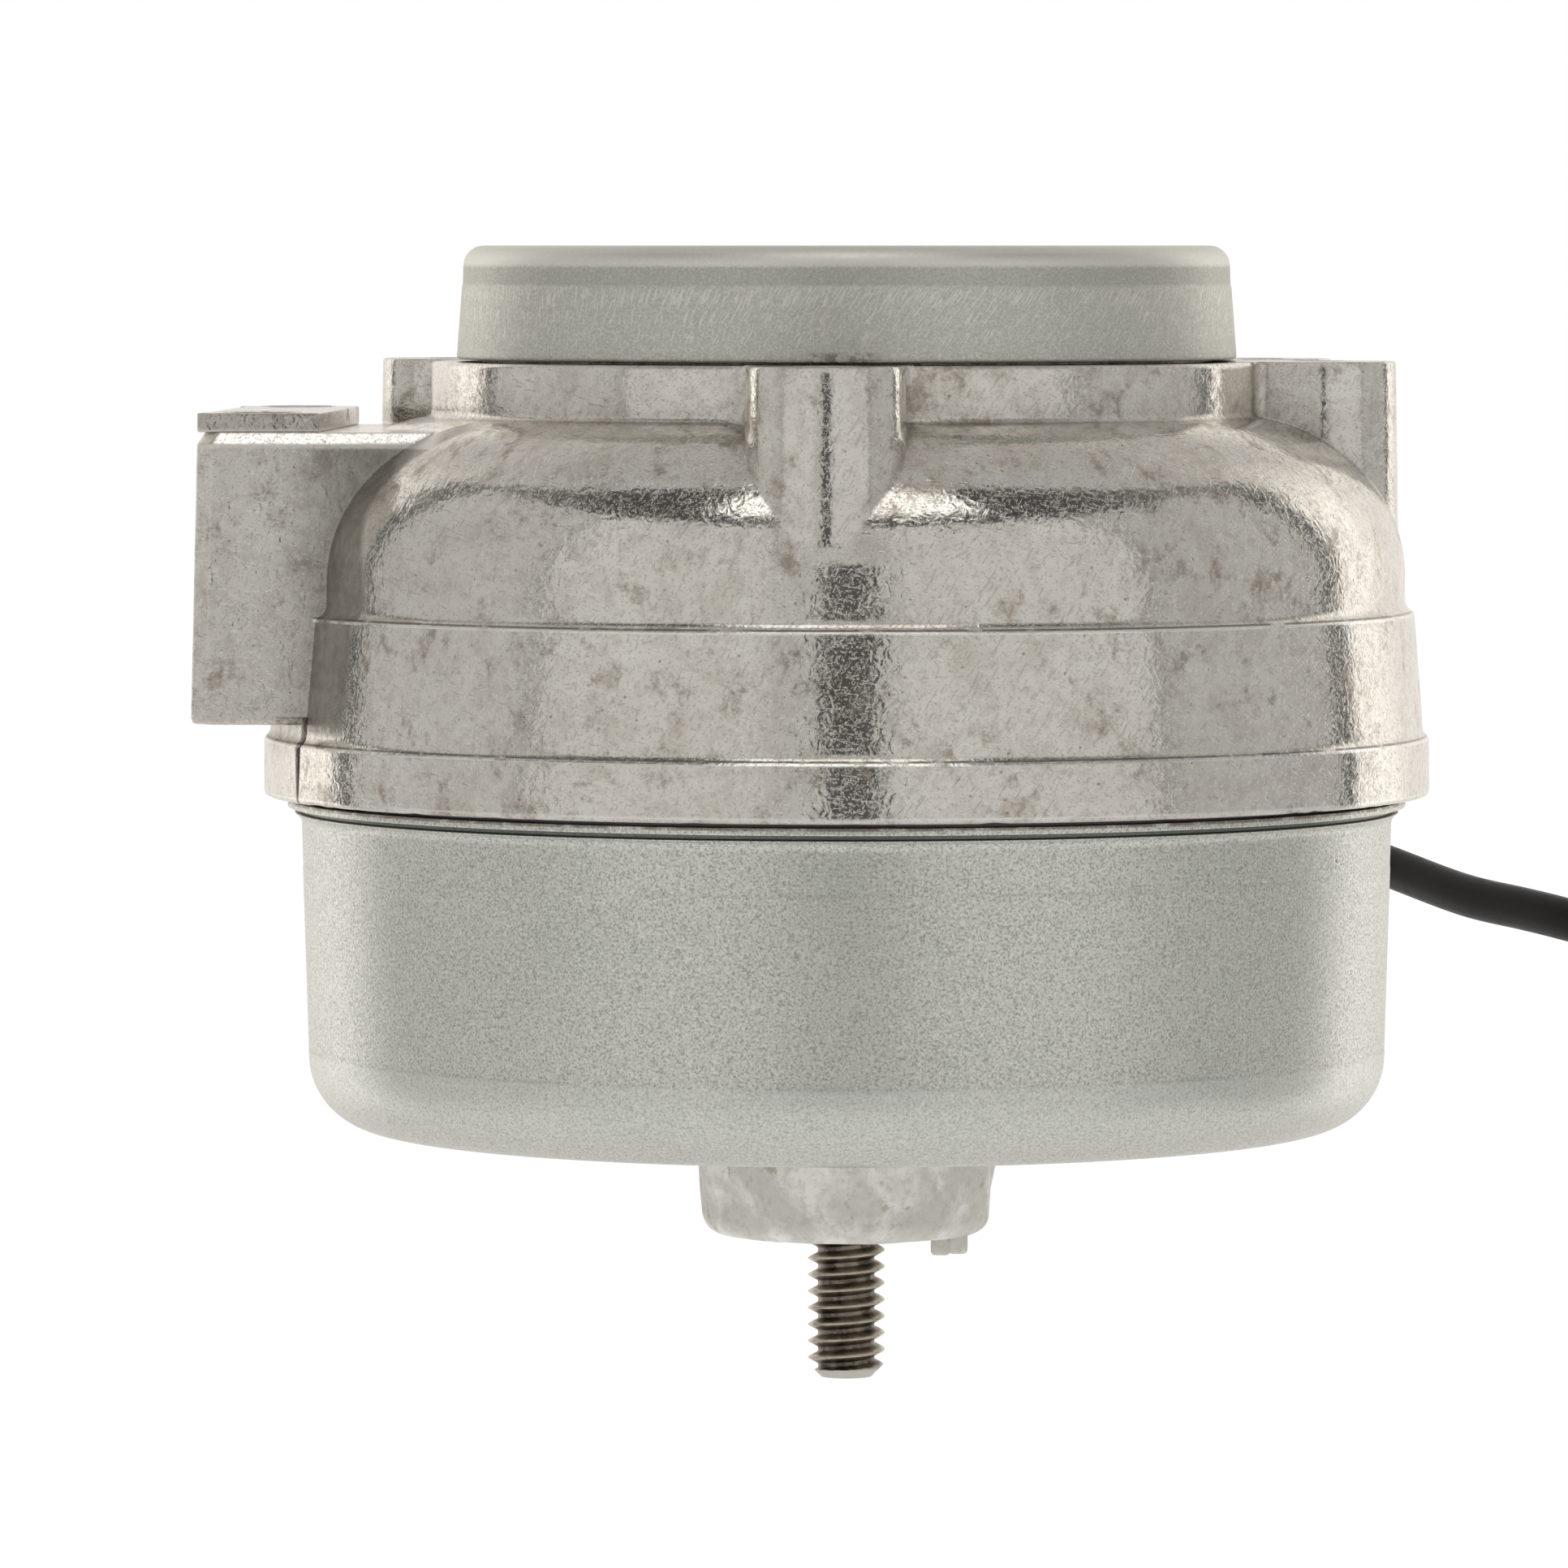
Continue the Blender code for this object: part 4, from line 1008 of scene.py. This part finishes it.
def make_lead(material):
    path = lead_path()
    curve = bpy.data.curves.new("lead", "CURVE")
    curve.dimensions = "3D"
    curve.bevel_depth = LEAD_DIAMETER / 2
    curve.bevel_resolution = 6
    curve.use_fill_caps = True
    spline = curve.splines.new("POLY")
    spline.points.add(len(path) - 1)
    for target, point in zip(spline.points, path):
        target.co = (*(point * MM), 1)
    spline.use_smooth = True
    curve.materials.append(material)
    lead = linked("black_lead", curve)
    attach(lead, "housing")
    lead.visible_glossy = False
    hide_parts("power_lead", "lead_coil", "lead_tail")
    length = sum((b - a).length for a, b in zip(path, path[1:])) * MM
    return lead, path[0] * MM, length


def make_grommet(material):
    """The rubber grommet with a short ribbed relief."""
    tip = 41.4
    outline = [(1.42, tip, 0.2), (2.1, tip, 0.3)]
    for k in range(3):
        high = tip - 0.7 - 0.95 * k
        radius = 2.25 + 0.22 * k
        outline += [(radius, high, 0.12), (radius + 0.12, high - 0.35, 0.1)]
        outline += [(radius - 0.28, high - 0.45, 0.1), (radius - 0.22, high - 0.75, 0.1)]
    outline += [(3.0, 37.6, 0.2), (3.9, 37.6, 0.3), (3.9, 36.45, 0.2), (2.4, 36.3, 0.1), (2.4, 31.2, 0.1)]
    outline += [(2.9, 31.2, 0.1), (2.9, 30.4, 0.2), (1.42, 30.4, 0.1)]
    mesh = placed(lathe(rounded_path(outline), 64), outward_frame())
    return finish_mesh("lead_grommet_ribbed", mesh, material, ["lead_grommet"], 45)


def make_tie(material):
    """A small cable tie round the coil: band, ratchet head and cut tail."""
    centre = (ring_low + ring_high) / 2
    middle = (tie_low + tie_high) / 2
    outward = Vector((middle.x - centre.x, middle.y - centre.y, 0)).normalized()
    half_x = 3.3
    half_z = (tie_high.z - tie_low.z) / 2 - 0.05
    width, sheet = 1.3, 0.42
    squareness = 0.35
    section = (-width, 0), (width, 0), (width, sheet), (-width, sheet)
    shape = bmesh.new()
    loops = []
    count = 48
    for k in range(count):
        turn = 2 * math.pi * k / count
        x, z = (math.copysign(abs(side) ** squareness, side) for side in (math.cos(turn), math.sin(turn)))
        loops.append([shape.verts.new(Vector(((half_x - depth) * x, across, (half_z - depth) * z)) * MM)
                      for across, depth in section])
    for a, b in zip(loops, loops[1:] + loops[:1]):
        join_rings(shape, a, b)
    band = as_mesh(shape, "tie")
    head = box_mesh((half_x - 1.1, -2.0, half_z - 2.6), (half_x + 0.75, 2.0, half_z + 0.3), 0.3, 3)
    tail = box_mesh((half_x - 0.3, -1.2, half_z - 0.6), (half_x + 0.12, 1.2, half_z + 1.0), 0.15, 2)
    mesh = carve(band, join(head), join(tail))
    turn = Vector((1, 0, 0)).rotation_difference(outward).to_matrix().to_4x4()
    placed(mesh, Matrix.Translation((middle.x, middle.y, middle.z)) @ turn)
    return finish_mesh("cable_tie", mesh, material, ["lead_tie"], 40)


def make_connector(material):
    """A two-way nylon connector: open mouth, side ribs, a latch arm and two wire entries."""
    x0, y0, z0 = plug_low
    x1, y1, z1 = plug_high
    body = box_mesh((x0, y0 + 0.2, z0), (x1, y1, z1 - 1.1), 0.45, 3)
    steps = []
    for x in WIRE_X:
        steps.append(cut(box_mesh((x - 1.2, 20.4, z0 + 1.9), (x + 1.2, 32.0, z0 + 4.3))))
    steps.append(join(box_mesh((x0 + 2.4, y0 + 2.2, z1 - 1.3), (x1 - 2.4, y1 - 1.5, z1 - 0.5), 0.25, 2)))
    steps.append(join(box_mesh((x0 + 2.4, y1 - 4.0, z1 - 1.3), (x1 - 2.4, y1 - 2.4, z1), 0.25, 2)))
    for k in range(5):
        y = y0 + 1.4 + 1.1 * k
        steps.append(cut(box_mesh((x0 - 0.3, y, z0 + 1.0), (x0 + 0.25, y + 0.5, z1 - 2.2))))
        steps.append(cut(box_mesh((x1 - 0.25, y, z0 + 1.0), (x1 + 0.3, y + 0.5, z1 - 2.2))))
    mesh = carve(body, *steps)
    return finish_mesh("lead_connector", mesh, material, ["connector_body"], 35)


# ---------------------------------------------------------------- stage and light

def make_floor():
    bpy.ops.mesh.primitive_circle_add(vertices=96, radius=3.0, fill_type="NGON",
                                      location=(0, 0, floor_height - 0.02 * MM))
    floor = bpy.context.object
    floor.name = "pale_floor"
    material = bpy.data.materials.new("pale_floor")
    material.use_nodes = True
    shader = material.node_tree.nodes["Principled BSDF"]
    for name, value in {"Base Color": (0.12, 0.12, 0.12, 1), "Roughness": 0.9, "Specular IOR Level": 0.0,
                        "Emission Color": (1, 1, 1, 1), "Emission Strength": 0.96}.items():
        shader.inputs[name].default_value = value
    floor.data.materials.append(material)
    floor.visible_glossy = False


def make_world():
    """Soft studio light as a pattern of directions, in degrees from the camera's side and from the floor.

    A grey room in front with the dark gap of the camera, warm white panels behind, and overhead a dark
    arch with one softbox in it, above the camera.
    """
    world = bpy.data.worlds.new("studio")
    bpy.context.scene.world = world
    world.use_nodes = True
    n = Nodes(world.node_tree)
    background = world.node_tree.nodes["Background"]
    way = n.add("TexCoord").outputs["Generated"]
    towards = n.add("VectorMath", {0: way, 1: tuple(to_camera)}, operation="DOT_PRODUCT").outputs["Value"]
    across = n.add("VectorMath", {0: way, 1: tuple(image_right)}, operation="DOT_PRODUCT").outputs["Value"]
    side = n.math("DEGREES", n.math("ARCTAN2", across, towards))
    away = n.math("ABSOLUTE", side)
    height = n.math("DEGREES", n.math("ARCSINE", n.add("SeparateXYZ", {0: way}).outputs[2]))

    level = n.blend(n.span(away, 64, 67), 0.61, n.span(side, -20, 20, 0.52, 0.46))
    level = n.blend(n.inside(away, 64, 66.5, 0.8), level, 0.26)
    level = n.blend(n.inside(side, -17, 11, 1.2), level, 0.52)
    level = n.blend(n.inside(away, 113.7, 120.3, 1.0), level, 0.12)
    panel = n.times(n.span(height, 20, 42, 1.22, 0.62), n.span(away, 133, 150, 1.0, 0.74))
    level = n.blend(n.span(away, 120, 123), level, panel)
    gap = n.times(n.inside(side, -5.6, 6.2, 0.8), n.inside(height, -9, 19, 1.5))
    level = n.blend(gap, level, 0.09)

    arch_foot = n.span(away, 107, 124, 46, 29, smooth=False)
    arch_top = n.span(away, 60, 122, 70, 42, smooth=False)
    over = n.math("SUBTRACT", height, arch_foot)
    above = n.math("SUBTRACT", height, arch_top)
    arch = n.times(n.span(over, -1.5, 1.5), n.fall(away, 123.5, 126.5))
    light = n.blend(arch, level, n.span(away, 60, 110, 0.07, 0.17))
    light = n.blend(n.span(above, -1.5, 1.5), light, n.span(height, 45, 60, 0.52, 0.44))
    softbox = n.times(n.inside(side, -38, 38, 3.0), n.inside(height, 53, 73, 2.0))
    light = n.blend(softbox, light, 1.45)
    light = n.blend(n.fall(height, -32, -16), light, 0.66)

    for_lens = n.add("LightPath").outputs["Is Camera Ray"]
    tint = n.mix(n.span(away, 120, 123), (1.0, 0.983, 0.945), (1.0, 0.960, 0.905))
    n.feed(background.inputs["Color"], n.mix(for_lens, tint, (1, 1, 1)))
    n.feed(background.inputs["Strength"], n.blend(for_lens, light, 1.0))


def set_colours():
    view = bpy.context.scene.view_settings
    view.view_transform = "Standard"
    view.look = "None"


# ---------------------------------------------------------------- put together

def paint_nodes(names, material):
    for name in names:
        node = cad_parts[name]
        node.data.materials.clear()
        node.data.materials.append(material)


set_colours()
make_camera()
make_world()
make_floor()

jacket = black_jacket()
lead, lead_exit, lead_length = make_lead(jacket)

aluminium = cast_aluminium(edges=((BAND_TOP_R, BAND_TOP), (FLANGE_R - 0.03, FLANGE_TOP)))
cover_aluminium = cast_aluminium("cover_aluminium", rounding=0.1, grime=1.35)
casting = matt_casting()
rubber = moulded("black_rubber", (0.035, 0.034, 0.032), 0.55)
nylon = moulded("natural_nylon", (0.80, 0.78, 0.70), 0.42)
tie_nylon = moulded("black_nylon", (0.03, 0.03, 0.03), 0.35)
steel = machined("ground_steel", (0.62, 0.62, 0.63), 0.22)
brass = machined("stamped_brass", (0.74, 0.58, 0.28), 0.25)

make_housing(aluminium)
make_cap(zinc_cap())
make_can(zinc_can())
make_hub(casting)
make_stud(dark_thread())
make_cover(cover_aluminium, steel)
make_grommet(rubber)
tie = make_tie(tie_nylon)
connector = make_connector(nylon)
for piece in (tie, connector):
    piece.visible_glossy = False

coils = range(1, 5)
paint_nodes(["stator_core", "rotor_core"], laminated("laminations"))
paint_nodes([f"stator_coil_{k}" for k in coils], wound_wire())
paint_nodes([f"coil_bobbin_{k}" for k in coils] + ["terminal_block"], nylon)
paint_nodes(["thrust_washer_rear", "thrust_washer_front"], nylon)
paint_nodes([f"shading_ring_{k}" for k in coils], machined("shading_copper", (0.74, 0.37, 0.22), 0.28))
paint_nodes(["bearing_sleeve"], machined("sintered_bronze", (0.50, 0.35, 0.19), 0.42))
paint_nodes(["rotor_shaft", "retaining_clip", "thermal_protector"], steel)
paint_nodes(["rotor_end_ring_rear", "rotor_end_ring_front"], casting)
paint_nodes(["terminal_tab_1", "terminal_tab_2", "connector_contact_1", "connector_contact_2"], brass)
paint_nodes(["oil_felt"], wool_felt())
paint_nodes(["cap_seal"], rubber)
paint_nodes(["internal_lead"], jacket)
